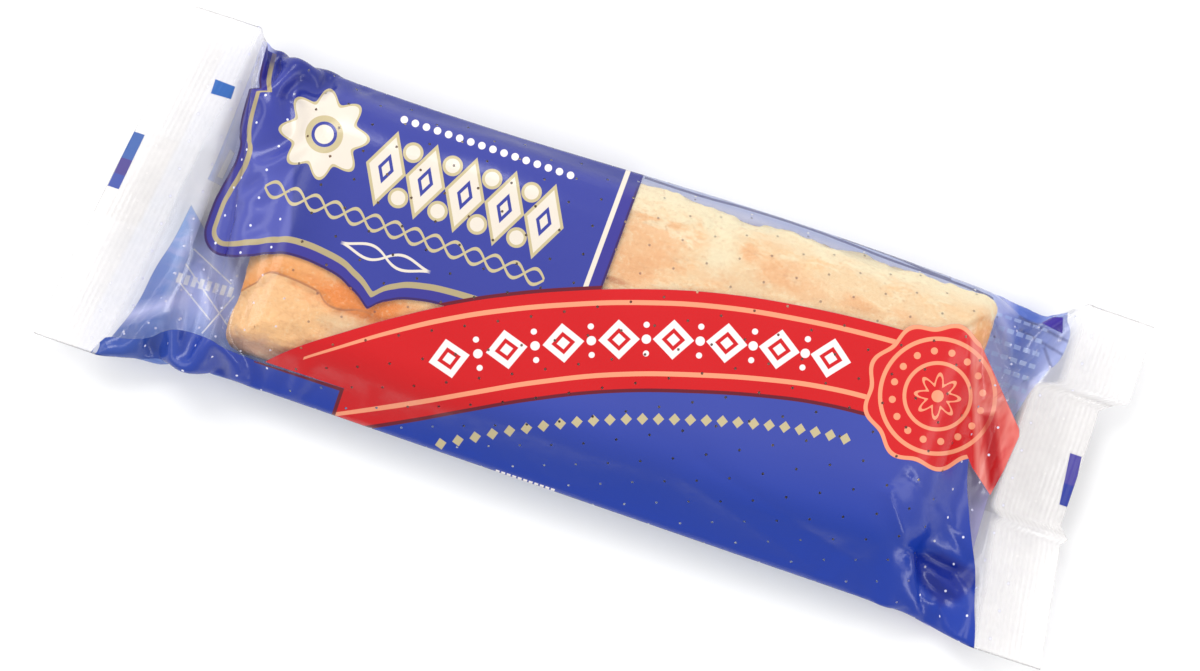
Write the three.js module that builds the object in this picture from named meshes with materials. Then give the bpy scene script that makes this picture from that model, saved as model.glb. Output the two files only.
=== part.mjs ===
// A baked sausage roll sealed in a printed flow-wrap film pack, lying on the seam along its back.
// The sealed pack is one solid: the film's outside, from cut edge to cut edge, full of its roll.
// Lengths are in millimetres. +X runs along the pack, +Y across it and +Z up. The origin is the
// middle of the pack's footprint, on the surface that the pack lies on.

import * as THREE from 'three';

// The sealed ends.
const halfLength = 113.9;         // from the origin to the furthest corner of either cut edge
const finHalfWidth = 38.8;        // half of the flattened film tube
const finHeight = 9.0;            // of the middle of a seal above the surface
const finThickness = 1.1;         // two layers of film with their crimping
const finDroop = 3.2;             // of a cut edge below the seal's inner line
const finWave = { height: 0.5, run: 8, leftPhase: 2.1, rightPhase: 0.6, fullFrom: 0.5 };
const leftSlant = 0.143;          // X per Y along the left cut edge, which was cut askew
const sealInner = 92;             // distance of either seal's inner line from the origin

// The right cut edge is drawn in where the folded back flap is caught in the seal.
const flap = { from: -10, to: 20, drawnIn: 5.6, edge: 1.5 };
const rightSlant = 0.16;          // X per Y on the near side of the flap

// The film lying over the roll, and where it falls from the roll's ends to the seals.
const packHeight = 23.2;
const fallFrom = { left: -68, right: 72 };
const fallTo = { left: -90, right: 87 };
const fallPower = 1.3;            // 1 is a straight slope, higher keeps the film up for longer
const lumps = { height: 0.45, along: 17, across: 9.5, skew: 41, phase: 1, goneBy: 0.6 };

// The folded sides of the film, at +Y (far) and at -Y (near), and how they flare to the seals.
const farSide = { y: 34.4, swell: 0.8, swellAt: -5, swellRun: 30, height: 9.8 };
const nearSide = { y: 35.2, slant: 0.022, height: 8.0 };
const flares = {
  farLeft: [84, 94], farRight: [90, 104], nearLeft: [76, 100], nearRight: [80, 99],
};
const pinch = { at: 87, depth: 2.2, run: 7 };   // the far side drawn in beside the right seal
const shoulder = { far: 3.7, near: 2.6 };        // of the rounded section: higher is squarer

// The underside: a flat panel, and the folded seam flap proud of it, which the pack rests on.
const seam = { from: -10, to: 8, depth: 0.6, edge: 0.4, liftsFrom: 0.5 };
const heel = { power: 7, from: 83, to: 93 };  // the rounding to the folded sides, and the seals

// Creases pressed into the upper side: a valley where depth is positive, a ridge where negative.
const creases = [
  { from: [-95, 30], to: [-71, 26], depth: 1.5, width: 2.2 },    // tuck at the far left corner
  { from: [-96, 18], to: [-78, 12], depth: 0.9, width: 2.6 },
  { from: [-98, -33], to: [-76, -24], depth: -1.6, width: 2.8 },  // gusset, near left corner
  { from: [-96, -24], to: [-80, -14], depth: 1.2, width: 2.6 },
  { from: [95, 29], to: [80, 22], depth: 1.4, width: 2.4 },      // gusset, far right corner
  { from: [93, 12], to: [81, 9], depth: 1.0, width: 2.4 },
  { from: [69, -13], to: [84, -31], depth: -1.5, width: 2.4 },   // ridge over the roll's corner
  { from: [78, -23], to: [90, -26], depth: 2.4, width: 3.6 },    // the dent beside that ridge
  { from: [97, -35], to: [84, -29], depth: 1.3, width: 2.4 },
];
const creaseFade = 4;             // how far to either side of a seal's inner line they die out

// Facets.
const stations = 88;
const seamLines = [seam.from - seam.edge, seam.from, seam.to, seam.to + seam.edge];
const sideSpans = 8;              // of the underside, from either folded side to the seam flap
const lowerSpans = 2 * sideSpans + seamLines.length - 1;
const upperPerLower = 2;          // spans of the upper side to one of the underside
const upperSpans = upperPerLower * lowerSpans;
const edgeCrowding = 0.4;         // 0 spreads the upper points evenly, 1 crowds them to the sides
const swing = { leftFrom: 60, rightFrom: 81, rightRun: 8 };  // where rows turn to the cut edges

const { clamp, lerp, smoothstep } = THREE.MathUtils;

// 0 over the roll, rising to 1 at the seal: the share of the way down the pack's tapered end.
function taper(x) {
  const left = (fallFrom.left - x) / (fallFrom.left - fallTo.left);
  const right = (x - fallFrom.right) / (fallTo.right - fallFrom.right);
  return clamp(Math.max(left, right), 0, 1) ** fallPower;
}

// Where the film's folded sides are at a station.
function farY(x) {
  const drawnIn = pinch.depth * Math.exp(-(((x - pinch.at) / pinch.run) ** 2));
  const body = farSide.y + farSide.swell * Math.sin((x - farSide.swellAt) / farSide.swellRun);
  const flare = Math.max(smoothstep(-x, ...flares.farLeft), smoothstep(x, ...flares.farRight));
  return lerp(body - drawnIn, finHalfWidth, flare);
}

function nearY(x) {
  const body = nearSide.y + nearSide.slant * x;
  const flare = Math.max(smoothstep(-x, ...flares.nearLeft), smoothstep(x, ...flares.nearRight));
  return -lerp(body, finHalfWidth, flare);
}

// Height of the middle of a fin, which droops to its cut edge and waves a little across.
function finMiddle(x, y) {
  const out = Math.max(0, Math.abs(x) - sealInner) / (halfLength - sealInner);
  const phase = x > 0 ? finWave.rightPhase : finWave.leftPhase;
  const wave = finWave.height * Math.sin(y / finWave.run + phase);
  return finHeight - finDroop * out * out + wave * smoothstep(out, 0, finWave.fullFrom);
}

// Height of the folded side, between the body's two values and the fin's.
function sideZ(x, y) {
  const body = y > 0 ? farSide.height : nearSide.height;
  return lerp(body, finMiddle(x, y), taper(x));
}

// How much the creases and the roll's lumps move the upper side at a point.
function relief(x, y) {
  let drop = 0;
  for (const { from, to, depth, width } of creases) {
    const run = new THREE.Vector2(to[0] - from[0], to[1] - from[1]);
    const past = new THREE.Vector2(x - from[0], y - from[1]);
    const share = clamp(past.dot(run) / run.lengthSq(), 0, 1);
    const away = past.addScaledVector(run, -share).length();
    drop += depth * Math.exp(-((away / width) ** 2));
  }
  const onFin = smoothstep(Math.abs(x), sealInner - creaseFade, sealInner + creaseFade);
  const overRoll = 1 - smoothstep(taper(x), 0, lumps.goneBy);
  const along = Math.sin(x / lumps.along + lumps.phase);
  const across = Math.cos(y / lumps.across + x / lumps.skew);
  return lumps.height * along * across * overRoll - drop * (1 - onFin);
}

// The upper side's height. across runs from -1 at the near folded side to 1 at the far one.
function upperZ(x, y, across) {
  const section = 1 - Math.abs(across) ** (across > 0 ? shoulder.far : shoulder.near);
  const fall = taper(x);
  const crown = lerp(packHeight, finMiddle(x, y) + finThickness / 2, fall);
  const edge = sideZ(x, y) + finThickness / 2;
  const rounded = (crown - edge) * section;
  return edge + rounded + relief(x, y) * section;
}

// The underside's height: a flat panel with rounded heels, and the seam flap standing below it.
function lowerZ(x, y, across) {
  const endRise = smoothstep(Math.abs(x), heel.from, heel.to);
  const rise = Math.max(endRise, Math.abs(across) ** heel.power);
  const panel = lerp(seam.depth, sideZ(x, y) - finThickness / 2, rise);
  const onSeam = smoothstep(y, seam.from - seam.edge, seam.from)
    * (1 - smoothstep(y, seam.to, seam.to + seam.edge));
  return panel - seam.depth * onSeam * (1 - smoothstep(endRise, seam.liftsFrom, 1));
}

// The cut edges' X at a given Y.
function leftCut(y) {
  return -halfLength + leftSlant * (y + finHalfWidth);
}

function rightCut(y) {
  const inFlap = smoothstep(y, flap.from - flap.edge, flap.from + flap.edge)
    * (1 - smoothstep(y, flap.to - flap.edge, flap.to + flap.edge));
  const slanted = y < flap.from ? rightSlant * (y + finHalfWidth) : 0;
  return halfLength - Math.max(flap.drawnIn * inFlap, slanted);
}

// A station's X at a given Y: straight across over the roll, swinging to the cut edges' lines.
function stationX(share, y) {
  const straight = lerp(leftCut(0), rightCut(finHalfWidth), share);
  const toLeft = smoothstep(-straight, swing.leftFrom, sealInner);
  const toRight = smoothstep(straight, swing.rightFrom, sealInner + swing.rightRun);
  const shiftLeft = (leftCut(y) - leftCut(0)) * toLeft;
  const shiftRight = (rightCut(y) - rightCut(finHalfWidth)) * toRight;
  return straight + shiftLeft + shiftRight;
}

// The near side's share of the way across is -1 and the far side's 1.
function upperPoint(share, index) {
  const even = 2 * index / upperSpans - 1;
  const across = lerp(even, Math.sin(even * Math.PI / 2), edgeCrowding);
  const roughX = stationX(share, across * finHalfWidth);
  const y = Math.abs(across) * (across > 0 ? farY(roughX) : nearY(roughX));
  const x = stationX(share, y);
  return [x, y, upperZ(x, y, across)];
}

// The underside's points run from either side to the seam flap, whose edges are straight.
function lowerPoint(share, index) {
  const nearX = stationX(share, -finHalfWidth);
  const farX = stationX(share, finHalfWidth);
  const crowded = (steps) => 1 - Math.cos((steps / sideSpans) * Math.PI / 2);
  const line = seamLines[index - sideSpans];
  const y = line !== undefined ? line
    : index < sideSpans ? lerp(nearY(nearX), seamLines[0], crowded(index))
      : lerp(farY(farX), seamLines.at(-1), crowded(lowerSpans - index));
  const x = stationX(share, y);
  const across = y > 0 ? y / farY(farX) : -y / nearY(nearX);
  return [x, y, lowerZ(x, y, across)];
}

function packGeometry() {
  const positions = [];
  const faces = [];
  const ring = upperSpans + lowerSpans + 2;
  for (let i = 0; i <= stations; i += 1) {
    const share = i / stations;
    for (let j = 0; j <= upperSpans; j += 1) {
      positions.push(...upperPoint(share, j));
    }
    for (let j = lowerSpans; j >= 0; j -= 1) {
      positions.push(...lowerPoint(share, j));
    }
  }
  const quad = (a, b, c, d) => faces.push(a, b, c, a, c, d);
  for (let i = 0; i < stations; i += 1) {
    for (let j = 0; j < ring; j += 1) {
      const next = (j + 1) % ring;
      quad(i * ring + j, (i + 1) * ring + j, (i + 1) * ring + next, i * ring + next);
    }
  }
  for (const end of [0, stations]) {
    const upper = (j) => end * ring + j;
    const lower = (j) => end * ring + ring - 1 - j;
    const face = end === 0 ? (a, b, c) => faces.push(a, b, c) : (a, b, c) => faces.push(a, c, b);
    for (let k = 0; k < lowerSpans; k += 1) {
      const first = upperPerLower * k;
      face(lower(k), upper(first), upper(first + 1));
      face(lower(k), upper(first + 1), lower(k + 1));
      face(lower(k + 1), upper(first + 1), upper(first + upperPerLower));
    }
  }
  const geometry = new THREE.BufferGeometry();
  geometry.setAttribute('position', new THREE.Float32BufferAttribute(positions, 3));
  geometry.setIndex(faces);
  geometry.computeVertexNormals();
  return geometry;
}

const printedFilm = new THREE.MeshStandardMaterial({
  color: new THREE.Color(0.05, 0.06, 0.36),
  roughness: 0.28,
  metalness: 0,
});

const wrappedRoll = new THREE.Mesh(packGeometry(), printedFilm);
wrappedRoll.name = 'wrapped_roll';

const pack = new THREE.Group();
pack.add(wrappedRoll);

export default pack;
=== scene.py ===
# A baked sausage roll sealed in a printed flow-wrap film pack, lying with its printed front up.
#
# The film is relaxed round the roll as a thin sheet that bends but doesn't stretch, so that it
# folds at the sealed ends as the real film does. Its print is worked out by the shaders from
# lines, curves and simple shapes. Lengths are in millimetres until a mesh, light or camera is
# made of them. +X runs along the pack, +Y across it to the top of the print, and +Z is up.

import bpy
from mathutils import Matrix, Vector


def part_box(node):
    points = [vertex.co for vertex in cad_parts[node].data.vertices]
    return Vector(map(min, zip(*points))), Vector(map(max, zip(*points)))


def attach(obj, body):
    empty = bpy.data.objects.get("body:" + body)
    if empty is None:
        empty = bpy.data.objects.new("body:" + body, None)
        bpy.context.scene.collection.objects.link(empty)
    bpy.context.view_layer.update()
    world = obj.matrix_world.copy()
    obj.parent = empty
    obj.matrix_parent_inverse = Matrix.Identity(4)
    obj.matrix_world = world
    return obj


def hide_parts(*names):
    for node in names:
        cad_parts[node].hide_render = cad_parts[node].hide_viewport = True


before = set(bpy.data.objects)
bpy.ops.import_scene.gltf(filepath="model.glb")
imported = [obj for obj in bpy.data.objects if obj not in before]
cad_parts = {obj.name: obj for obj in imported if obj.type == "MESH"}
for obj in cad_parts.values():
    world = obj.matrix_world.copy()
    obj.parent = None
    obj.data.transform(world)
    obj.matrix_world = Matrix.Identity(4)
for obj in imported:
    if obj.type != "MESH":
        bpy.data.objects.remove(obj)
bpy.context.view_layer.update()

import math

import bpy
import numpy as np
from mathutils import Vector
from mathutils.bvhtree import BVHTree

MM = 0.001
NODE = "wrapped_roll"
_, pack_high = (np.array(corner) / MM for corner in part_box(NODE))

# ---------------------------------------------------------------- sizes of the pack

HALF_LENGTH = pack_high[0]
HALF_TUBE = pack_high[1]        # half of the width of the flattened film tube
ROUND = 4 * HALF_TUBE           # once round the tube
FILM_LENGTH = 231.5             # of the film along the middle of the pack, over the roll
SEAL_DEPTH = 16.0               # of the crimped fins
FIN_HEIGHT = 9.0                # of the middle of a fin where it leaves the pack
FIN_DROOP = 3.2                 # of a cut edge below that
LAYER_GAP = 0.12                # between the two layers of film in a fin
FLAP_ROOM = 0.4                 # under the film, for the seam flap that the pack rests on
LEFT_SLANT = 0.143              # X per Y along the left cut edge, which was cut askew
RIGHT_SLANT = 0.16              # X per Y along the near part of the right cut edge
DRAWN_IN = {"from": -10.0, "to": 20.0, "depth": 5.6, "edge": 1.5}   # right cut edge at the flap

FAR_SIDE = {"y": 34.7, "swell": 0.9, "swell_at": -5.0, "run": 27.0}   # of the film, folded
NEAR_SIDE = {"y": 35.5, "slant": 0.01}
PINCH = {"depth": 2.9, "at": 88.0, "run": 6.0}    # the far side drawn in beside the right seal
FLARES = {                      # -X at the left and X at the right end where a side flares
    "far": ((84, 94), (90, 104)), "near": ((80, 101), (80, 99)),
}

ROLL = {
    "left": -75.0, "right": 81.0, "middle": 1.8, "half_width": 30.6, "height": 22.4, "base": 0.7,
    "plan_corner": 12.0, "near_left_corner": 6.0, "far_right_corner": 5.0,
    "top_corner": 10.5, "bottom_corner": 5.0, "dome_across": 0.16, "dome_along": 0.05,
}
LUMPS = (0.35, 0.25, 0.2)       # heights of the roll's broad, long and fine unevenness


def mix(start, end, share):
    return start + (end - start) * share


def ramp(value, start, end):
    """0 before start, 1 after end and smooth between them."""
    share = np.clip((value - start) / (end - start), 0, 1)
    return share * share * (3 - 2 * share)


def left_cut(y):
    """X of the left cut edge."""
    return -HALF_LENGTH + LEFT_SLANT * (y + HALF_TUBE)


def right_cut(y):
    """X of the right cut edge, which is drawn in where the seam flap is caught in the seal."""
    low, high, edge = DRAWN_IN["from"], DRAWN_IN["to"], DRAWN_IN["edge"]
    before = 1 - ramp(y, low - edge, low + edge)
    inside = (1 - before) * (1 - ramp(y, high - edge, high + edge))
    slanted = RIGHT_SLANT * np.clip(y + HALF_TUBE, 0, HALF_TUBE + low) * before
    return HALF_LENGTH - np.maximum(DRAWN_IN["depth"] * inside, slanted)


def side_line(x, far):
    """Y of the film's folded side, which flares to the tube's full width at the seals."""
    left, right = FLARES["far" if far else "near"]
    flare = np.maximum(ramp(-x, *left), ramp(x, *right))
    if not far:
        return -mix(NEAR_SIDE["y"] + NEAR_SIDE["slant"] * x, HALF_TUBE, flare)
    swell = FAR_SIDE["swell"] * np.sin((x - FAR_SIDE["swell_at"]) / FAR_SIDE["run"])
    pinch = PINCH["depth"] * np.exp(-(((x - PINCH["at"]) / PINCH["run"]) ** 2))
    return mix(FAR_SIDE["y"] + swell - pinch, HALF_TUBE, flare)


# ---------------------------------------------------------------- the roll's shape

def roll_lumps(x, y):
    """Slow unevenness of the roll's top: waves whose runs are in millimetres."""
    broad = np.sin(x / 9.5 + 0.8 * np.sin(y / 13)) * np.cos(y / 8 + x / 37)
    return LUMPS[0] * broad + LUMPS[1] * np.sin(x / 23 + 2) + LUMPS[2] * np.sin(y / 4.7 + x / 6.1)


def roll_distance(points):
    """Distance of points from the roll's surface, negative inside it, and the way out."""
    x, y, z = points[..., 0], points[..., 1], points[..., 2]
    across = np.clip((y - ROLL["middle"]) / ROLL["half_width"], -1, 1)
    half_length = (ROLL["right"] - ROLL["left"]) / 2
    centre_x = (ROLL["right"] + ROLL["left"]) / 2
    along = np.clip((x - centre_x) / half_length, -1, 1)
    dome = 1 - ROLL["dome_across"] * across ** 2 - ROLL["dome_along"] * along ** 4
    half_height = ROLL["height"] / 2
    from_x = x - centre_x
    from_y = y - ROLL["middle"]
    from_z = (z - ROLL["base"]) / dome - half_height
    corner = np.where((from_x < 0) & (from_y < 0), ROLL["near_left_corner"], ROLL["plan_corner"])
    corner = np.where((from_x > 0) & (from_y > 0), ROLL["far_right_corner"], corner)
    past_x = np.abs(from_x) - (half_length - corner)
    past_y = np.abs(from_y) - (ROLL["half_width"] - corner)
    out_x, out_y = np.maximum(past_x, 0), np.maximum(past_y, 0)
    reach = np.hypot(out_x, out_y) + 1e-9
    plan = reach + np.minimum(np.maximum(past_x, past_y), 0) - corner
    in_corner = reach > 1e-6
    way_x = np.where(in_corner, out_x / reach, past_x > past_y) * np.sign(from_x)
    way_y = np.where(in_corner, out_y / reach, past_x <= past_y) * np.sign(from_y)
    edge = np.where(from_z > 0, ROLL["top_corner"], ROLL["bottom_corner"])
    side = plan + edge
    over = np.abs(from_z) - (half_height - edge)
    out_side, out_over = np.maximum(side, 0), np.maximum(over, 0)
    length = np.hypot(out_side, out_over) + 1e-9
    lumps = roll_lumps(x, y) * (from_z > 0)
    distance = length + np.minimum(np.maximum(side, over), 0) - edge - lumps
    rounded = length > 1e-6
    outward = np.where(rounded, out_side / length, side > over)
    upward = np.where(rounded, out_over / length, side <= over) * np.sign(from_z)
    way = np.stack([way_x * outward, way_y * outward, upward], -1)
    return distance, way


# ---------------------------------------------------------------- relaxing the film

GUESS = {                       # the shape that the film settles from
    "clear": 2.0,               # past the roll's ends, where it starts to be drawn to the seals
    "fall": 6.0,                # short of the roll's ends, where it starts to slope
    "crown": 24.0, "far_side": 8.0, "near_side": 6.0, "half_width": 34.8,   # over the roll
    "square": 3.2, "round": 0.53, "heel": 7,         # powers that shape its section
    "rise": (0.5, 1), "spread": (0.3, 1),   # shares of the slope where it rises and spreads
}
BEND = 0.25                     # how firmly the film keeps flat against neighbours two away
SHEAR = 0.6
SETTLE = 0.002                  # how far the film falls at each step
DAMPING = 0.85
MOST_SPEED = 0.6
ROLL_SKIN = 0.25                # the film's least distance from the roll
MOST_PUSH = 3.0                 # by the roll in one step
MOST_PARTING = 5.0              # of the upper and lower film in one step
SIDE_HOLD = 0.5                 # how firmly the folds are drawn to their side lines
LEVELS = ((48, 32, 500), (96, 64, 300), (154, 104, 250))   # rows, columns and steps
ENDS_SLANT = ((0, 0.2), (0.85, 1))   # shares of the film where it slants as either cut edge does
FIN_WAVE = {"height": 0.5, "run": 8.0, "full_from": 0.5, "left": 2.1, "right": 0.6}


def film_place(share, around):
    """Where points of the film are when it is spread flat: along, across, and whether on top.

    share runs from 0 at the left cut edge to 1 at the right one. around is the way round the tube
    from the near side fold, over the top first.
    """
    top = around <= 2 * HALF_TUBE
    across = np.where(top, around - HALF_TUBE, 3 * HALF_TUBE - around)
    to_left, to_right = 1 - ramp(share, *ENDS_SLANT[0]), ramp(share, *ENDS_SLANT[1])
    along = ((share - 0.5) * FILM_LENGTH
             + (left_cut(across) - left_cut(0.0)) * to_left
             + (right_cut(across) - right_cut(0.0)) * to_right)
    return along, across, top


def fin_points(along, across):
    """X and Z of points in the left and right fins, and their depths in from the cut edges."""
    fins = []
    for cut, end, phase in ((left_cut, -1, FIN_WAVE["left"]), (right_cut, 1, FIN_WAVE["right"])):
        edge = end * FILM_LENGTH / 2 + cut(across) - cut(0.0)
        depth = (edge - along) * end
        out = np.clip(1 - depth / SEAL_DEPTH, 0, 1)
        wave = FIN_WAVE["height"] * np.sin(across / FIN_WAVE["run"] + phase)
        z = FIN_HEIGHT - FIN_DROOP * out ** 2 + wave * ramp(out, 0, FIN_WAVE["full_from"])
        fins.append((cut(across) - end * depth, z, depth))
    return fins


def first_guess(rows, columns):
    """The film laid loosely over the roll, which of its points the seals hold, and its places."""
    share = np.linspace(0, 1, rows + 1)[:, None]
    around = (np.arange(columns) * ROUND / columns)[None, :]
    along, across, top = np.broadcast_arrays(*film_place(share, around))
    seal_left, seal_right = left_cut(across) + SEAL_DEPTH, right_cut(across) - SEAL_DEPTH
    start = -FILM_LENGTH / 2 + left_cut(across) - left_cut(0.0) + SEAL_DEPTH
    stop = FILM_LENGTH / 2 + right_cut(across) - right_cut(0.0) - SEAL_DEPTH
    roll_left, roll_right = ROLL["left"] - GUESS["clear"], ROLL["right"] + GUESS["clear"]
    left_share = np.clip((along - start) / (roll_left - start), 0, 1)
    right_share = np.clip((along - roll_right) / (stop - roll_right), 0, 1)
    x = np.where(along < roll_left, mix(seal_left, roll_left, left_share), along)
    x = np.where(along > roll_right, mix(roll_right, seal_right, right_share), x)
    over_left = (ROLL["left"] + GUESS["fall"] - x) / (ROLL["left"] + GUESS["fall"] - seal_left)
    over_right = (x - ROLL["right"] + GUESS["fall"]) / (seal_right - ROLL["right"] + GUESS["fall"])
    taper = np.clip(np.maximum(over_left, over_right), 0, 1)
    reach = across / HALF_TUBE
    side_z = mix(np.where(across > 0, GUESS["far_side"], GUESS["near_side"]), FIN_HEIGHT, taper)
    crown = mix(GUESS["crown"], FIN_HEIGHT, 1 - (1 - taper) ** 2)
    section = np.clip(1 - np.abs(reach) ** GUESS["square"], 0, 1) ** GUESS["round"]
    under = np.maximum(ramp(taper, *GUESS["rise"]), np.abs(reach) ** GUESS["heel"])
    z = np.where(top, side_z + (crown - side_z) * section, mix(FLAP_ROOM, side_z, under))
    half_width = mix(GUESS["half_width"], HALF_TUBE, ramp(taper, *GUESS["spread"]))
    points = np.stack([x, reach * half_width, z], -1)
    gap = np.where(top, 0.5, -0.5) * LAYER_GAP * np.clip((HALF_TUBE - np.abs(across)) / 2, 0, 1)
    sealed = np.zeros(x.shape, bool)
    for fin_x, fin_z, depth in fin_points(along, across):
        in_fin = depth <= SEAL_DEPTH
        held = np.stack([fin_x, across, fin_z + gap], -1)
        points = np.where(in_fin[..., None], held, points)
        sealed |= in_fin
    return points, sealed, along, np.broadcast_to(around, along.shape)


def film_links(rows, columns, along, around):
    """Pairs of points and their distances in the flat film, in sets that share no point."""
    number = np.arange((rows + 1) * columns).reshape(rows + 1, columns)
    beside, beyond = np.roll(number, -1, 1), np.roll(number, -2, 1)
    along, around = along.ravel(), around.ravel()
    links = []

    def link(first, second, hold, push):
        first, second = first.ravel(), second.ravel()
        apart = (around[second] - around[first] + ROUND / 2) % ROUND - ROUND / 2
        rest = np.hypot(along[second] - along[first], apart)
        links.append((first, second, rest, hold, push))

    for odd in (0, 1):
        pairs = number[odd:-1:2].shape[0]
        link(number[odd:-1:2], number[odd + 1::2][:pairs], 1, 1)
        link(number[:, odd::2], beside[:, odd::2], 1, 1)
        link(number[odd:-1:2], beside[odd + 1::2][:pairs], SHEAR, SHEAR)
        link(beside[odd:-1:2], number[odd + 1::2][:pairs], SHEAR, SHEAR)
    for first in range(4):
        every = np.arange(first, rows - 1, 4)
        link(number[every], number[every + 2], BEND, 1)
        every = np.arange(first, columns, 4)
        link(number[:, every], beyond[:, every], BEND, 1)
    return links


def pull(points, free, first, second, rest, hold, push):
    """Moves linked points towards their distance in the flat film."""
    between = points[second] - points[first]
    length = np.sqrt((between ** 2).sum(-1)) + 1e-9
    excess = length - rest
    share = np.where(excess > 0, hold, hold * push)
    move = (excess * share / length / (free[first] + free[second] + 1e-9))[:, None] * between
    points[first] += move * free[first][:, None]
    points[second] -= move * free[second][:, None]


def relax(points, sealed, along, around, steps):
    """Lets the film find its shape over the roll and the surface, held by its seals."""
    shape = points.shape
    rows, columns = shape[0] - 1, shape[1]
    links = film_links(rows, columns, along, around)
    points = points.reshape(-1, 3).copy()
    free = np.where(sealed.ravel(), 0.0, 1.0)
    number = np.arange(len(points)).reshape(rows + 1, columns)
    half = columns // 2
    over = number[:, 1:half].ravel()
    under = number[:, (-np.arange(1, half)) % columns].ravel()
    speed = np.zeros_like(points)
    for _ in range(steps):
        before = points.copy()
        points += speed * free[:, None]
        points[:, 2] -= SETTLE * free
        for link in links:
            pull(points, free, *link)
        distance, way = roll_distance(points)
        points += way * (np.clip(ROLL_SKIN - distance, 0, MOST_PUSH) * free)[:, None]
        points[:, 2] = np.where(free > 0, np.maximum(points[:, 2], FLAP_ROOM), points[:, 2])
        for column, far in ((0, False), (half, True)):
            fold = number[:, column]
            drawn = mix(points[fold, 1], side_line(points[fold, 0], far), SIDE_HOLD)
            points[fold, 1] = np.where(free[fold] > 0, drawn, points[fold, 1])
        short = LAYER_GAP - (points[over, 2] - points[under, 2])
        parting = np.clip(short, 0, MOST_PARTING) / 2
        points[over, 2] += parting * free[over]
        points[under, 2] -= parting * free[under]
        speed = np.clip((points - before) * DAMPING, -MOST_SPEED, MOST_SPEED)
    return points.reshape(shape)


def on_curve(values, at):
    """Values between rows, at fractional row numbers, on smooth curves through the rows."""
    last = len(values) - 1
    row = np.clip(np.floor(at).astype(int), 0, last - 1)
    t = (at - row).reshape(-1, *[1] * (values.ndim - 1))
    a, b, c, d = (values[np.clip(row + k, 0, last)] for k in (-1, 0, 1, 2))
    return b + 0.5 * t * (c - a + t * (2 * a - 5 * b + 4 * c - d + t * (3 * (b - c) + d - a)))


def resample(points, shares, arounds):
    """The film's points at other places: shares along it, and arounds round it."""
    rows, columns = points.shape[0] - 1, points.shape[1]
    along = on_curve(points, shares * rows)
    wrapped = np.concatenate([along[:, -1:], along, along[:, :2]], 1).swapaxes(0, 1)
    return on_curve(wrapped, arounds / ROUND * columns + 1).swapaxes(0, 1)


def relaxed_film():
    """The film's points over the roll, settled on ever finer meshes."""
    points = None
    for rows, columns, steps in LEVELS:
        guess, sealed, along, around = first_guess(rows, columns)
        if points is not None:
            shares = np.linspace(0, 1, rows + 1)
            finer = resample(points, shares, np.arange(columns) * ROUND / columns)
            guess = np.where(sealed[..., None], guess, finer)
        points = relax(guess, sealed, along, around, steps)
    return points


# ---------------------------------------------------------------- camera

CAMERA_HEIGHT = 1100.0          # above the plane that the print's places are given in
PRINT_PLANE = 9.0               # the height of that plane
VIEW_WIDTH = 256.7              # of what the picture shows in that plane
VIEW_CENTRE = (1.6, -0.7)
VIEW_TURN = math.radians(18.5)  # the pack lies turned by this in the picture
SENSOR_WIDTH = 36.0


def add_camera():
    data = bpy.data.cameras.new("camera")
    data.type = "PERSP"
    data.sensor_width = SENSOR_WIDTH
    data.lens = SENSOR_WIDTH * CAMERA_HEIGHT / VIEW_WIDTH
    data.clip_end = 10
    camera = bpy.data.objects.new("camera", data)
    camera.location = [v * MM for v in (*VIEW_CENTRE, PRINT_PLANE + CAMERA_HEIGHT)]
    camera.rotation_euler = (0, 0, VIEW_TURN)
    bpy.context.scene.collection.objects.link(camera)
    bpy.context.scene.camera = camera


def print_place(points):
    """X and Y in the print's plane of what is printed on the film at these points.

    The print's places are given as they show from straight above the pack.
    """
    centre = np.array(VIEW_CENTRE)
    scale = CAMERA_HEIGHT / (CAMERA_HEIGHT + PRINT_PLANE - points[..., 2])
    return centre + (points[..., :2] - centre) * scale[..., None]


# ---------------------------------------------------------------- meshes

def make_piece(name, points, faces, materials, face_materials, layers=None):
    """A mesh object of points in millimetres, with a UV map for each named layer of places."""
    mesh = bpy.data.meshes.new(name)
    mesh.from_pydata((points.reshape(-1, 3) * MM).tolist(), [], faces)
    for label, places in (layers or {}).items():
        mesh.uv_layers.new(name=label).data.foreach_set("uv", places.astype(np.float32).ravel())
    for material in materials:
        mesh.materials.append(material)
    mesh.polygons.foreach_set("material_index", face_materials.astype(np.int32))
    mesh.polygons.foreach_set("use_smooth", np.ones(len(faces), bool))
    mesh.validate()
    piece = bpy.data.objects.new(name, mesh)
    bpy.context.scene.collection.objects.link(piece)
    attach(piece, "root")
    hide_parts(NODE)
    return piece


def tube_faces(rows, columns):
    """Quads round a tube of points, and the row and column of each quad."""
    i, j = np.meshgrid(np.arange(rows - 1), np.arange(columns), indexing="ij")
    beside = (j + 1) % columns
    quads = [i * columns + j, (i + 1) * columns + j, (i + 1) * columns + beside, i * columns + beside]
    return np.stack(quads, -1).reshape(-1, 4), i.ravel(), j.ravel()


def end_faces(row, columns, turn):
    """Faces that close a flattened tube at one end, from its upper points to its lower ones."""
    faces = []
    for k in range(columns // 2):
        corners = [k, -k % columns, (-k - 1) % columns, k + 1]
        faces.append([row * columns + corner for corner in dict.fromkeys(corners[::turn])])
    return faces


CRIMP = {                       # the seals' ridges: their heights at either end, and patches
    "pitch": 1.15, "left": 0.04, "right": 0.1, "run_in": 1.5, "patch": 6.5, "seed": 21, "least": 0.45,
}
FIN_ROW = 0.29                  # between rows in a fin, fine enough for its crimping
BODY_ROW = 0.75
COLUMNS = 208
PRINT_IN_FIN = 6.0              # how far the print reaches past a seal's inner line

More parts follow.
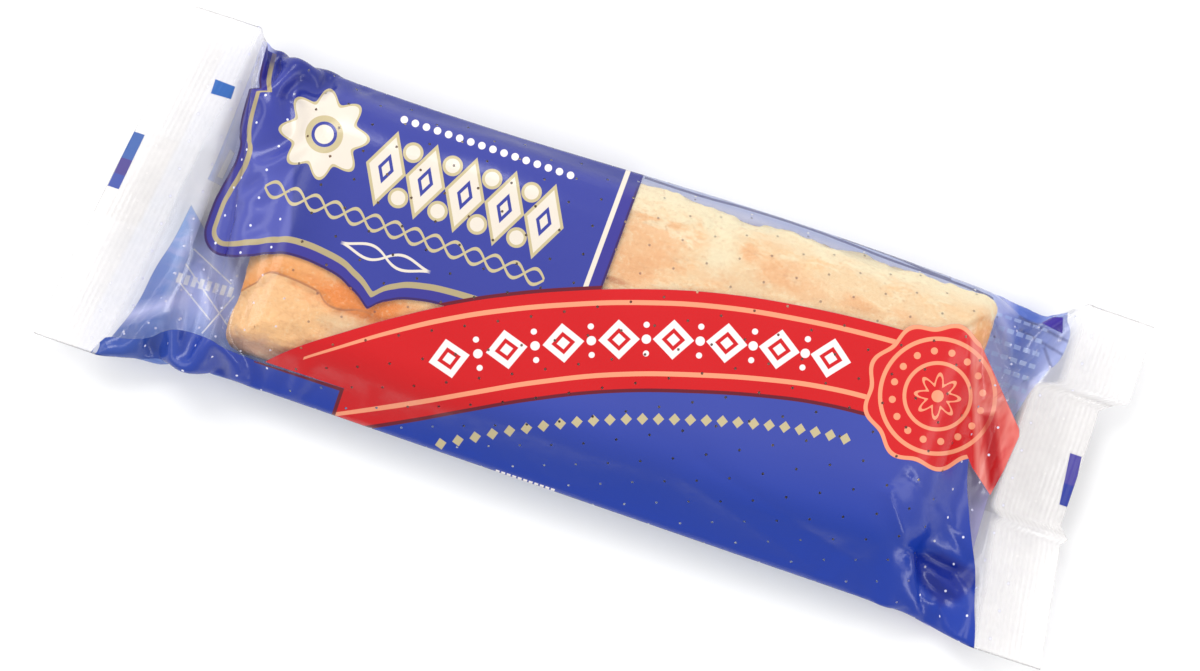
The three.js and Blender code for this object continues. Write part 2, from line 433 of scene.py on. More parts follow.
# Creases pressed into the printed side: a valley where depth is positive, a ridge where negative.
CREASES = (                     # their starts and ends, depths and widths
    ((69.9, -12.5), (85.5, -32.0), -1.5, 1.3),
    ((69.9, -11.3), (72.9, -8.5), 0.5, 0.7),
    ((72.9, -8.5), (80.5, -12.5), 0.7, 0.8),
    ((80.5, -12.5), (92.5, -22.0), 0.6, 0.8),
    ((79.0, -22.8), (92.5, -25.0), 3.4, 2.8),
    ((79.5, -24.0), (91.0, -28.5), -1.5, 0.7),
    ((83.0, -28.5), (90.0, -30.5), 1.8, 1.5),
    ((30.0, -19.0), (68.0, -29.0), 0.7, 2.6),
    ((28.0, -24.0), (60.0, -33.0), -0.5, 2.2),
    ((-88.0, 26.0), (-70.0, 25.6), 0.8, 0.7),
    ((77.0, 26.0), (91.0, 11.0), -0.7, 0.9),
    ((76.0, 23.0), (87.0, -5.0), -0.8, 0.8),
    ((88.5, 6.0), (89.5, -6.0), 1.0, 1.5),
)
CREASE_ROUND = 0.2              # how blunt their bottoms are
CREASE_FADE = 4.0               # how far from a seal they reach their full depth
CALM = {"x": (66.0, 74.0), "y": (-3.0, -12.0), "around": (0.0, 5.0), "seal": 3.0, "turns": 70}


def film_grid():
    """The places of the film mesh's rows and columns, along and round the film."""
    fin = np.arange(0, SEAL_DEPTH, FIN_ROW)
    body = np.arange(SEAL_DEPTH, FILM_LENGTH - SEAL_DEPTH, BODY_ROW)
    shares = np.concatenate([fin, body, FILM_LENGTH - fin[::-1]]) / FILM_LENGTH
    return shares, np.arange(COLUMNS) * ROUND / COLUMNS


def seal_depth(along, across):
    """How far in from the nearer cut edge points of the film are."""
    return np.minimum(*(depth for _, _, depth in fin_points(along, across)))


def crimped(points, along, across):
    """Presses the seals' fine ridges, which run along the cut edges, into both layers of film."""
    points = points.copy()
    depth = seal_depth(along, across)
    wave = np.sin(2 * math.pi * depth / CRIMP["pitch"])
    flat = np.stack([along, across, 0 * along], -1)
    patches = lattice_noise(flat, CRIMP["patch"], CRIMP["seed"])
    height = np.where(along > 0, CRIMP["right"], CRIMP["left"])
    height = height * ramp(SEAL_DEPTH - depth, 0, CRIMP["run_in"])
    points[..., 2] += height * mix(CRIMP["least"], 1, patches) * wave
    return points


def calmed(points, top, depth_in, around):
    """Smooths the film over the roll's near right corner, before the photo's creases go there."""
    points = points.copy()
    share = ramp(points[..., 0], *CALM["x"]) * ramp(points[..., 1], *CALM["y"])
    share = share * ramp(depth_in, SEAL_DEPTH, SEAL_DEPTH + CALM["seal"])
    share = share * ramp(around, *CALM["around"]) * top
    for _ in range(CALM["turns"]):
        height = points[..., 2]
        beside = sum(np.roll(height, step, axis) for axis in (0, 1) for step in (1, -1))
        points[..., 2] = mix(height, beside / 4, share)
    return points


def creased(points, top, depth_in):
    """Presses the creases into the film's printed side."""
    points = points.copy()
    drop = 0
    for start, end, depth, width in CREASES:
        past, run = points[..., :2] - start, np.subtract(end, start)
        share = np.clip(past @ run / (run ** 2).sum(), 0, 1)
        away = np.linalg.norm(past - share[..., None] * run, axis=-1)
        drop = drop + depth * np.exp(-np.hypot(away, CREASE_ROUND) / width)
    height = points[..., 2]
    below = height[:, -np.arange(COLUMNS) % COLUMNS] + LAYER_GAP
    fade = ramp(depth_in, SEAL_DEPTH, SEAL_DEPTH + CREASE_FADE)
    pressed = np.maximum(height - drop * fade, below)
    points[..., 2] = np.where(top & (height > below), pressed, height)
    return points


def make_film(relaxed, materials):
    """The film tube, closed at its cut edges.

    Its UV maps give the film's own places (film), the print's (art) and the depth in from the
    nearer cut edge (seal). Its materials are the front print, the back print and the fins.
    """
    shares, arounds = film_grid()
    along, across, top = np.broadcast_arrays(*film_place(shares[:, None], arounds[None, :]))
    depth = seal_depth(along, across)
    points = crimped(resample(relaxed, shares, arounds), along, across)
    points = creased(calmed(points, top, depth, arounds), top, depth)
    quads, i, j = tube_faces(len(shares), COLUMNS)
    ends = end_faces(0, COLUMNS, 1) + end_faces(len(shares) - 1, COLUMNS, -1)
    end_corners = [corner for face in ends for corner in face]
    corners = np.concatenate([quads.ravel(), end_corners])
    film = np.stack([along, np.broadcast_to(arounds, along.shape)], -1).reshape(-1, 2)[corners]
    film[:quads.size].reshape(-1, 4, 2)[j == COLUMNS - 1, 2:, 1] = ROUND
    layers = {
        "film": film,
        "art": print_place(points).reshape(-1, 2)[corners],
        "seal": np.stack([depth, across], -1).reshape(-1, 2)[corners],
    }
    in_fin = depth[i, j] < SEAL_DEPTH - PRINT_IN_FIN
    kinds = np.where(in_fin, 2, np.where(j < COLUMNS // 2, 0, 1))
    kinds = np.concatenate([kinds, np.full(len(ends), 2)])
    return make_piece("film", points, quads.tolist() + ends, materials, kinds, layers)


FLAP = {"near": -10.0, "far": 8.0, "spans": 14, "clear": 0.05, "thick": 0.28}
FLAP_FLARE = {"left": 2.0, "right": 12.0, "x": (84.0, 96.0)}   # of its far edge, at the seals
FLAP_STRIP = {"step": 0.5, "near": 4, "far": 16}   # of film that it is laid on, past its edges


def make_flap(relaxed, material):
    """The back seam, folded flat under the film all along the pack."""
    shares, _ = film_grid()
    x = (shares - 0.5) * FILM_LENGTH
    far = (FLAP["far"] + FLAP_FLARE["right"] * ramp(x, *FLAP_FLARE["x"])
           + FLAP_FLARE["left"] * ramp(-x, *FLAP_FLARE["x"]))
    across = mix(FLAP["near"], far[:, None], np.linspace(0, 1, FLAP["spans"] + 1)[None, :])
    along, _, _ = film_place(shares[:, None], 3 * HALF_TUBE - across)
    strip = np.arange(FLAP["near"] - FLAP_STRIP["near"], FLAP["far"] + FLAP_STRIP["far"],
                      FLAP_STRIP["step"])
    film = resample(relaxed, shares, 3 * HALF_TUBE - strip)
    places = (across - strip[0]) / FLAP_STRIP["step"]
    film = np.stack([on_curve(row, at) for row, at in zip(film, places)])
    film = crimped(film, along, across)
    down = np.cross(np.gradient(film, axis=1), np.gradient(film, axis=0))
    down /= np.linalg.norm(down, axis=-1, keepdims=True)
    upper = film + down * FLAP["clear"]
    lower = film + down * (FLAP["clear"] + FLAP["thick"])
    ring = np.concatenate([lower, upper[:, ::-1]], 1)
    rows, columns = ring.shape[:2]
    quads = tube_faces(rows, columns)[0][:, ::-1]
    k = np.arange(FLAP["spans"])
    cap = np.stack([k, k + 1, columns - 2 - k, columns - 1 - k], -1)
    faces = np.concatenate([quads, cap, cap[:, ::-1] + (rows - 1) * columns])
    depth = np.broadcast_to(seal_depth(along, across), across.shape)
    seal = np.stack([depth, across], -1)
    seal = np.concatenate([seal, seal[:, ::-1]], 1).reshape(-1, 2)
    layers = {"art": print_place(ring).reshape(-1, 2)[faces.ravel()], "seal": seal[faces.ravel()]}
    kinds = np.zeros(len(faces))
    return make_piece("seam_flap", ring, faces.tolist(), [material], kinds, layers)


# ---------------------------------------------------------------- the pastry roll

LATTICE = 32                    # cells before the noise repeats


def lattice_noise(points, size, seed):
    """Smooth noise between -1 and 1 whose lumps are about size across."""
    values = np.random.default_rng(seed).uniform(-1, 1, [LATTICE] * 3)
    scaled_points = points / size
    cell = np.floor(scaled_points).astype(int)
    t = scaled_points - cell
    t = t * t * (3 - 2 * t)
    total = 0
    for corner in np.ndindex(2, 2, 2):
        weight = np.prod(np.where(corner, t, 1 - t), -1)
        at = (cell + corner) % LATTICE
        total = total + weight * values[at[..., 0], at[..., 1], at[..., 2]]
    return total


ROLL_ROWS = 300
ROLL_COLUMNS = 250
ROLL_TURN = 0.28                # the share of the rows that turn round either end
ROLL_CORE = (24.0, 30.0, 13.0)  # from the ends, and the shape that rays fan out in
CORE_DROP = 0.8                 # of the rays' start below the roll's middle
RAY_REACH = 2.0                 # of the rays, in times the shape that they fan out in
HALVINGS = 24                   # in finding where a ray leaves the roll
PASTRY_INSET = 0.35             # of the pastry's smooth shape inside the film's
PASTRY_GAP = 0.3                # its least distance from the film, on the way out
PASTRY_DEEP = 4.0               # a depth in it that is surely inside the film
LAP = (                         # Y of the edge of the overlapping sheet of pastry, for an X
    (-82.0, -24.0), (-74.9, -17.0), (-71.0, -13.1), (-67.6, -9.9), (-61.3, -10.2), (-57.7, -10.9),
    (-53.4, -13.0), (-47.4, -11.7), (-43.4, -12.0), (84.0, -13.5))
LAP_WAVES = ((0.2, 2.3, 0), (0.25, 0.9, 1))    # heights, runs and shifts of its unevenness
LAP_EDGE = (-0.35, 0.05)        # from it, Y where its step starts and ends
LAP_STEP = 0.9                  # the overlapping sheet stands up by this
FAR_REACH = (                   # of the far side past the smooth shape, for an X
    (-70.0, 0.8), (0.0, 1.0), (9.0, 1.1), (14.0, 0.3), (26.0, 0.4), (34.0, 1.6), (42.0, 0.9),
    (50.0, 1.3), (62.0, 1.6), (78.0, 1.5))
CORNER_REACH = {"at": (-75.0, -29.0), "reach": 1.6, "run": 4.5}   # and of its near left corner
RAGGED = (                      # the far side's raggedness: heights, sizes and seeds
    (0.25, 7.0, 12), (0.5, 2.6, 13), (0.3, 1.3, 14))
FACING_UP = (0.0, 0.5)          # Z of the surface's direction, from its sides to its top
FACING_FAR = (0.3, 0.8)         # and Y, from its top to its far side
CRUST_NOISES = {                # their stretches along the axes, sizes and seeds
    "flakes": ((1, 1.7, 1.5), 6.0, 3), "fine_flakes": ((1, 1, 1), 1.8, 4),
    "blisters": ((1, 1, 1), 7.5, 8), "grain": ((1, 2.2, 1.5), 1.4, 5),
}
FLAKES = {"broad": 2.5, "fine": 0.5, "step": 0.2, "edge": (0.6, 1.0)}    # of the crust's sheets
SKIN = {"sunk": 0.4, "blisters": 0.3, "grain": 0.07}   # how deep it lies, and its relief


def lap_y(x):
    """Y of the edge of the overlapping sheet of pastry."""
    waves = (height * np.sin(x / run + shift) for height, run, shift in LAP_WAVES)
    return sum(waves, np.interp(x, *zip(*LAP)))


def pastry_points():
    """Points on the roll's surface, in rings along it that close to a pole at each end."""
    reach_x, reach_y, reach_z = ROLL_CORE
    middle_z = ROLL["base"] + ROLL["height"] / 2 - CORE_DROP
    share = np.linspace(0, 1, ROLL_ROWS)
    past_right = np.clip((share - 1 + ROLL_TURN) / ROLL_TURN, 0, 1)
    past_left = np.clip((ROLL_TURN - share) / ROLL_TURN, 0, 1)
    tilt = math.pi / 2 * (past_right - past_left)
    run = np.clip((share - ROLL_TURN) / (1 - 2 * ROLL_TURN), 0, 1)
    start_x = mix(ROLL["left"] + reach_x, ROLL["right"] - reach_x, run)
    angle = np.arange(ROLL_COLUMNS) * 2 * math.pi / ROLL_COLUMNS
    out = np.stack([np.zeros_like(angle), np.cos(angle) * reach_y, np.sin(angle) * reach_z], -1)
    way = out[None] * np.cos(tilt)[:, None, None]
    way[..., 0] += reach_x * np.sin(tilt)[:, None]
    start = np.stack([start_x, np.full(ROLL_ROWS, ROLL["middle"]), np.full(ROLL_ROWS, middle_z)], -1)
    near, far = np.zeros(way.shape[:2]), np.full(way.shape[:2], RAY_REACH)
    for _ in range(HALVINGS):
        half = (near + far) / 2
        within = roll_distance(start[:, None] + way * half[..., None])[0] < -PASTRY_INSET
        near, far = np.where(within, half, near), np.where(within, far, half)
    return start[:, None] + way * near[..., None]


def crust_noise(points, kind):
    stretch, size, seed = CRUST_NOISES[kind]
    return lattice_noise(points * stretch, size, seed)


def flaked(points):
    """Depth of the flaky surface, whose sheets end in small steps."""
    level = FLAKES["broad"] * crust_noise(points, "flakes")
    level = level + FLAKES["fine"] * crust_noise(points, "fine_flakes")
    sheet = np.floor(level)
    return FLAKES["step"] * (sheet + ramp(level - sheet, *FLAKES["edge"]))


def room_inside(film, points, way):
    """The distances from points to the film, on their ways out: negative where they are past it."""
    mesh = film.data
    tree = BVHTree.FromPolygons([v.co for v in mesh.vertices], [p.vertices for p in mesh.polygons])
    starts = ((points - way * PASTRY_DEEP) * MM).reshape(-1, 3)
    hits = [tree.ray_cast(Vector(a), Vector(b))[3] for a, b in zip(starts, way.reshape(-1, 3))]
    room = np.array([0 if hit is None else hit / MM for hit in hits]) - PASTRY_DEEP
    return room.reshape(points.shape[:-1])


def make_pastry(material, film):
    """The roll, whose flaky surface stays inside the film."""
    points = pastry_points()
    _, way = roll_distance(points)
    blisters = np.maximum(crust_noise(points, "blisters"), 0)
    edge = lap_y(points[..., 0])
    below = 1 - ramp(points[..., 1], edge + LAP_EDGE[0], edge + LAP_EDGE[1])
    top = ramp(way[..., 2], *FACING_UP)
    far_side = ramp(way[..., 1], *FACING_FAR)
    ragged = sum(height * lattice_noise(points, size, seed) for height, size, seed in RAGGED)
    reach = (np.interp(points[..., 0], *zip(*FAR_REACH)) + ragged) * far_side
    from_corner = np.linalg.norm(points[..., :2] - CORNER_REACH["at"], axis=-1)
    reach = reach + CORNER_REACH["reach"] * np.exp(-((from_corner / CORNER_REACH["run"]) ** 2))
    sunk = (SKIN["sunk"] + flaked(points) - SKIN["blisters"] * blisters
            + SKIN["grain"] * crust_noise(points, "grain") + LAP_STEP * below * top)
    out = np.minimum(reach - np.maximum(sunk, 0), room_inside(film, points, way) - PASTRY_GAP)
    points = points + way * out[..., None]
    quads = tube_faces(ROLL_ROWS, ROLL_COLUMNS)[0][:, ::-1]
    kinds = np.zeros(len(quads))
    return make_piece("pastry_roll", points, quads.tolist(), [material], kinds)


# ---------------------------------------------------------------- values in shaders

def linear(red, green, blue):
    """A colour for a shader, from its 0 to 255 values in a picture."""
    return (*(((c / 255 + 0.055) / 1.055) ** 2.4 for c in (red, green, blue)), 1.0)


class Value:
    """A number, colour or surface that a node gives: arithmetic on it makes shader nodes."""

    def __init__(self, node, output=0):
        self.tree, self.socket = node.id_data, node.outputs[output]

    def __add__(self, other):
        return calculate("ADD", self, other)

    def __sub__(self, other):
        return calculate("SUBTRACT", self, other)

    def __rsub__(self, other):
        return calculate("SUBTRACT", other, self)

    def __mul__(self, other):
        return calculate("MULTIPLY", self, other)

    def __neg__(self):
        return self * -1.0

    __radd__ = __add__
    __rmul__ = __mul__


def connect(source, socket):
    """Gives a socket a value, or a plain number or colour."""
    if isinstance(source, Value):
        source.tree.links.new(source.socket, socket)
    else:
        socket.default_value = source


def new_node(tree, kind, *sources, setting=None, **named):
    """A shader node whose inputs are given in turn or by name. setting is a name and a value."""
    node = tree.nodes.new(f"ShaderNode{kind}")
    if setting:
        setattr(node, *setting)
    for source, socket in zip(sources, node.inputs):
        connect(source, socket)
    for label, source in named.items():
        connect(source, node.inputs[label.replace("_", " ")])
    return node


def made(tree, kind, *sources, **named):
    """What a new node gives first."""
    return Value(new_node(tree, kind, *sources, **named))


def calculate(operation, *values):
    tree = next(value.tree for value in values if isinstance(value, Value))
    return made(tree, "Math", *values, setting=("operation", operation))


def least(first, *others):
    for other in others:
        first = calculate("MINIMUM", first, other)
    return first


def most(first, *others):
    for other in others:
        first = calculate("MAXIMUM", first, other)
    return first


def size_of(value):
    return calculate("ABSOLUTE", value)


def sine(value):
    return calculate("SINE", value)


def length_of(x, y):
    pair = made(x.tree, "CombineXYZ", x, y)
    return Value(new_node(x.tree, "VectorMath", pair, setting=("operation", "LENGTH")), "Value")


def scaled(value, from_low, from_high, to_low=0.0, to_high=1.0):
    """A value moved from one range to another, and held at its ends."""
    return made(value.tree, "MapRange", value, from_low, from_high, to_low, to_high)


EDGE = 0.05                     # half of the width over which a printed edge fades


def inside(distance):
    """1 where a distance is negative, 0 where it is positive."""
    return scaled(distance, EDGE, -EDGE)


def line(distance, middle, width):
    """1 on a line of some width, where a distance is close to middle."""
    return inside(size_of(distance - middle) - width / 2)


def curve(value, points, sharp=()):
    """A smooth curve through points of (value, result), with sharp corners at some of them."""
    xs, ys = zip(*points)
    low_x, high_x, low_y, high_y = min(xs), max(xs), min(ys), max(ys)
    node = new_node(value.tree, "FloatCurve", Value=scaled(value, low_x, high_x))
    knots = node.mapping.curves[0].points
    while len(knots) < len(points):
        knots.new(0.5, 0.5)
    for knot, (x, y) in zip(knots, points):
        knot.location = ((x - low_x) / (high_x - low_x), (y - low_y) / (high_y - low_y))
        knot.handle_type = "VECTOR" if x in sharp else "AUTO"
    node.mapping.update()
    return scaled(Value(node), 0.0, 1.0, low_y, high_y)


def repeat(value, pitch):
    """The way from the middle of the nearest of a row of places that lie a pitch apart."""
    return calculate("WRAP", value, pitch / 2, -pitch / 2)


def way_of(start, end):
    """A straight way's length, and its direction."""
    length = math.dist(start, end)
    return length, (end[0] - start[0]) / length, (end[1] - start[1]) / length


def beyond(x, y, start, end):
    """Distance from the line from start to end, negative on its left."""
    _, way_x, way_y = way_of(start, end)
    return x * way_y - y * way_x - (start[0] * way_y - start[1] * way_x)


def polygon(x, y, corners):
    """Distance from a convex outline whose corners run anticlockwise, negative inside."""
    return most(*(beyond(x, y, *side) for side in zip(corners, corners[1:] + corners[:1])))


def stroke(x, y, start, end, width):
    """Distance from a straight stroke of some width from start to end."""
    length, way_x, way_y = way_of(start, end)
    along = (x - start[0]) * way_x + (y - start[1]) * way_y
    return block(beyond(x, y, start, end), along - length / 2, width / 2, length / 2)


def block(s, t, half_s, half_t):
    """Distance from a rectangle round the middle of s and t."""
    return most(size_of(s) - half_s, size_of(t) - half_t)


def lozenge(s, t, width, height):
    """Distance from a lozenge round the middle of s and t."""
    side = math.hypot(width, height)
    return (size_of(s) * height + size_of(t) * width) * (1 / side) - width * height / side


def disc(x, y, place):
    """Distance from a round shape with lobes."""
    from_x, from_y = x - place["x"], y - place["y"]
    turn = calculate("ARCTAN2", from_y, from_x) * place["lobes"]
    return length_of(from_x, from_y) - place["radius"] - sine(turn) * place["wave"]


def strands(level, swing, width):
    """Distance from two strands that swing to either side of level 0."""
    return least(size_of(level - swing), size_of(level + swing)) - width / 2


def own_places(tree):
    """The piece's own places, in metres."""
    return Value(new_node(tree, "TexCoord"), "Object")


def noise(tree, size, detail=2.0, roughness=0.5, stretch=(1, 1, 1), distortion=0.0):
    """Noise from 0 to 1 in the piece's own space, with lumps about size across."""
    scale = [1 / (size * MM * s) for s in stretch]
    place = made(tree, "Mapping", Vector=own_places(tree), Scale=scale)
    return made(tree, "TexNoise", Vector=place, Scale=1.0, Detail=detail, Roughness=roughness,
                Distortion=distortion)


def over(under, colour, cover):
    """A colour laid over what is under it, where cover is 1."""
    node = new_node(cover.tree, "Mix", cover, setting=("data_type", "RGBA"))
    connect(under, node.inputs[6])
    connect(colour, node.inputs[7])
    return Value(node, 2)


def layered(colour, *layers):
    """Colours laid over a colour in turn, each where its cover is 1."""
    for tone, cover in layers:
        colour = over(colour, tone, cover)
    return colour


def washed(colour, x, y, washes):
    """Washes laid over a colour: each is a colour, how far it covers, and the slopes it lies on.

    A slope is the parts of x and y in it, where it starts and ends, and its values there if they
    aren't 0 and 1.
    """
    for tone, cover, *slopes in washes:
        for part_x, part_y, *ends in slopes:
            cover = scaled(x * part_x + y * part_y, *ends) * cover
        colour = over(colour, tone, cover)
    return colour


def layer_places(tree, layer):
    """The two places that a UV map of the mesh gives, in millimetres."""
    split = new_node(tree, "SeparateXYZ", made(tree, "UVMap", setting=("uv_map", layer)))
    return Value(split, 0), Value(split, 1)


def new_material(name):
    material = bpy.data.materials.new(name)
    material.use_nodes = True
    material.node_tree.nodes.clear()
    return material, material.node_tree


def finished(material, surface):
    """The material with its surface."""
    new_node(material.node_tree, "OutputMaterial", surface)
    return material


def bumped(height, depth):
    """A surface direction for relief as deep as depth where height goes from 0 to 1."""
    return made(height.tree, "Bump", Distance=depth * MM, Height=height)


# ---------------------------------------------------------------- the front print

BLUE = linear(52, 60, 148)
FIELD_BLUE = linear(56, 70, 160)
NEAR_SHADE_BLUE = linear(18, 54, 156)
SHADED_BLUE = linear(50, 76, 154)
DENT_SHADE_BLUE = linear(14, 34, 132)
FREE_LIT_BLUE = linear(96, 102, 186)
LYING_SHADE_BLUE = linear(34, 46, 128)
FAR_SHADE_BLUE = linear(28, 40, 124)
PATCH_BLUE = linear(46, 98, 172)
VIOLET = linear(55, 50, 140)
CORNER_VIOLET = linear(50, 28, 140)
EDGE_VIOLET = linear(54, 32, 92)
GOLD = linear(192, 178, 138)
DULL_GOLD = linear(172, 156, 118)
CREAM = linear(224, 214, 200)
RED = linear(200, 8, 18)
SEAL_RED = linear(204, 20, 26)
SHADED_RED = linear(172, 8, 18)
DARK_RED = linear(100, 10, 34)
SHEEN_RED = linear(250, 178, 164)
SALMON = linear(238, 150, 114)
WHITE = linear(238, 230, 229)

# Outlines, as X for a Y or Y for an X.
BADGE_LEFT = (
    (-20.0, -85.8), (-2.0, -85.9), (3.0, -85.4), (8.0, -84.5), (11.5, -84.2), (15.0, -85.0),
    (20.0, -86.0), (25.6, -86.3), (26.4, -84.3), (31.0, -85.4), (40.0, -85.8))
PLEAT = (25.6, 26.4)            # where the left outline jogs, at a pleat in the film
BADGE_BOTTOM = (
    (-90.0, -11.2), (-81.5, -10.4), (-75.2, -8.6), (-70.5, -6.5), (-65.4, -5.4), (-59.5, -5.8),
    (-52.3, -8.1), (-47.5, -11.2), (-43.7, -8.1), (-38.1, -6.1), (-32.1, -5.3), (-20.0, -5.0))
BADGE_TIP = -47.5
BADGE_SLOPE = 0.92              # the cosine of the bottom outline's usual slope
BADGE_CORNER = 5.5
BADGE_RIGHT = {"x": -1.2, "at_y": 9.0, "lean": 0.03}
BADGE_RIM = 0.5                 # of darker violet round the badge
BORDER = {"left": 1.6, "below": 2.4}     # from the badge's outline to its gold line
GOLD_LINE = {"left": 0.8, "below": 1.25}
LINE_TURN = (-84.0, -77.0)      # X where both change from their left width to the one below
CREAM_LINE = {"in": 3.4, "width": 1.05}
ROLL_END = ((-76.0, 27.0), (-67.6, -2.8))    # the film hangs free left of this line
# Painted light and painted shade by the roll's end: a lighter blue where the film hangs free and light
# from below shows through, a darker blue where it lies on the roll.
FREE_LIGHT = {"edge": (-0.4, 0.6), "y": (21.0, 9.0), "cover": 0.45}
LYING_SHADE = {"edge": (0.2, -0.4), "run": (-12.0, -1.0), "cover": 0.6}
FAR_SHADE_WASH = ((FAR_SHADE_BLUE, 0.7, (0, 1, 30.6, 32.6)),)    # painted shade, where it goes dark along the far side

BANNER_TOP = (
    (-66.0, -30.3), (-60.0, -24.4), (-50.0, -17.0), (-40.0, -10.2), (-30.0, -4.2), (-20.0, 0.9),
    (-8.0, 6.1), (8.0, 11.9), (24.0, 16.2), (40.0, 18.9), (58.0, 20.7), (75.0, 21.3))
BANNER_BOTTOM = (
    (-50.0, -40.0), (-40.0, -35.0), (-30.0, -29.8), (-20.0, -24.3), (-8.0, -17.9), (8.0, -10.7),
    (24.0, -5.4), (40.0, -1.2), (50.0, 0.7), (60.0, 1.7), (75.0, 2.0))
BANNER_CREST = 70.0
BANNER_BEND = 0.0052            # its slope grows by this for each millimetre from its crest
BANNER_START = -66.0
BANNER_END = 74.0
BANNER_TRAP = 0.8               # how far its red is spread over the blue print, where they look dark
BANNER_LINES = {"top": 2.9, "bottom": 3.2, "width": 1.05, "start": -57.0, "thin_to": -35.0}
STEP = (-46.7, -28.8)           # the banner's lower left corner, over the strip of plain blue

FIELD_TOP = (
    (-101.0, -40.0), (-99.6, -36.4), (-98.3, -34.5), (-94.0, -33.4), (-89.8, -31.8), (-87.0, -29.4),
    (-84.0, -28.1), (-78.0, -27.9), (-73.4, -28.8), (-46.0, -28.8), (-40.0, -22.0), (60.0, 11.0),
    (99.0, 8.0))
FIELD_CORNERS = (-46.0, -40.0, 60.0, 99.0)
FIELD_RIGHT = (
    (-40.0, 99.0), (-36.0, 98.0), (-30.0, 95.9), (-23.0, 93.7), (-17.0, 90.9), (-11.6, 88.5),
    (-2.5, 85.2), (12.0, 83.0))
# Painted shade on the field: a darker blue towards the near side and a shaded blue towards the left end.
FIELD_WASHES = (
    (NEAR_SHADE_BLUE, 1.0, (-0.1, 1, -14.0, -30.0)),
    (SHADED_BLUE, 1.0, (1, 0, -74.0, -92.0)),
)
# Painted shade in the dent at the near right corner, whose far wall faces away from the light: its
# outline, how its edge fades and how far it covers.
DENT = [
    (79.2, -24.0), (83.0, -28.9), (89.0, -32.6), (92.5, -30.0), (94.7, -25.5), (93.5, -23.0),
    (86.0, -21.5)]
DENT_EDGE = (0.7, -0.7)
DENT_SHADE_COVER = 0.85
LEFT_PATCH = [(-93.8, 22.0), (-89.3, 22.2), (-89.3, 25.0), (-93.8, 25.2)]
RIGHT_CORNER = [(86.9, 32.3), (95.3, 31.1), (94.3, 34.4)]

SEAL = {"x": 74.2, "y": 9.9, "radius": 15.4, "wave": 0.7, "lobes": 9, "line": 0.9}
SEAL_RINGS = ((12.3, 0.9), (7.1, 0.8))       # their radii and widths
SEAL_DOTS = {"radius": 9.7, "count": 16, "size": 0.75}
SEAL_ROSETTE = {"x": 74.2, "y": 9.9, "radius": 3.6, "wave": 1.1, "lobes": 8, "line": 0.8, "core": 1.3}
SEAL_FOLD = ((92.6, 9.2), (76.0, 27.2))
SEAL_TAIL = [
    (74.0, 12.0), (86.0, -2.2), (91.6, -6.6), (92.7, -0.5), (93.5, 7.3), (92.3, 10.9),
    (81.0, 21.6)]
SEAL_CREASE = ((76.6, 27.0), (87.1, -1.2))   # the pack's corner: right of it lies a painted sheen over the red, with a painted glint along the corner
SEAL_SHEEN_NOISE = (5.0, 2.0, 0.5, (0.6, 1.5, 1), 0.2)       # the noise of that painted sheen
SEAL_SHEEN = {"edge": (-0.6, 0.4), "cloud": (0.3, 0.65, 0.1, 0.6), "glint": (1.1, 0.2), "cover": 0.4}
SEAL_SHADE = {"way": ((85.6, 10.0), (92.4, -5.0)), "width": 3.4, "edge": (0.3, -0.9), "cover": 0.85}

ROSETTE = {"x": -68.0, "y": 21.4, "radius": 7.9, "wave": 1.3, "lobes": 8}
ROSETTE_CORE = {"radius": 3.4, "ring": 1.3, "cut": 1.0}
TILES = {"from": -57.6, "to": -13.1, "y": 18.6, "count": 5, "height": 7.1, "width": 3.75}
TILE_LINE = {"in": 2.1, "width": 0.7}
MOTIF_EDGE = 0.65               # of gold round the badge's cream motifs
STUDS = {"out": 0.72, "radius": 1.55, "inset": 4.0}   # out as a share of the tiles' height
DOTS = {"from": -54.0, "to": -14.0, "y": 29.8, "count": 16, "size": 0.8}
BRAID = {"from": -76.5, "to": -13.5, "y": 6.8, "height": 1.7, "length": 9.0, "width": 0.75}
FLOURISH = {"x": -47.2, "y": 0.6, "half": 9.7, "height": 1.9, "width": 0.6, "swell": 1.25}
LOZENGES = {
    "from": -33.0, "to": 55.5, "count": 8, "height": 4.3, "width": 4.4, "line": 1.3, "core": 2.1}
BEADS = {"radius": 1.0, "out": 3.1, "small": 0.65, "inset": 4.0}
UNDER_ROW = {"from": -25.0, "to": 60.0, "below": 6.6, "count": 26, "height": 1.3, "width": 1.2}
NEAR_DASHES = {"from": -10.6, "to": 3.1, "y": -35.2, "count": 11, "half": (0.42, 0.26)}


def outside_row(x, row):
    """Distance outside the stretch of x that a row of ornament fills."""
    return size_of(x - (row["from"] + row["to"]) / 2) - (row["to"] - row["from"]) / 2


def row_pitch(row):
    return (row["to"] - row["from"]) / row["count"]


def along_row(x, row):
    """The way along x from the middle of the nearest motif of a row."""
    return repeat(x - (row["from"] + row_pitch(row) / 2), row_pitch(row))


def in_row(motif, x, row):
    """1 inside a row's motifs, from the distance from the nearest."""
    return inside(most(motif, outside_row(x, row)))


def badge_distance(x, y):
    """Distance from the outline of the blue badge, negative inside it."""
    left = curve(y, BADGE_LEFT, sharp=PLEAT) - x + BADGE_CORNER
    below = (curve(x, BADGE_BOTTOM, sharp=(BADGE_TIP,)) - y) * BADGE_SLOPE + BADGE_CORNER
    rounded = length_of(most(left, 0.0), most(below, 0.0)) + least(most(left, below), 0.0)
    return rounded - BADGE_CORNER


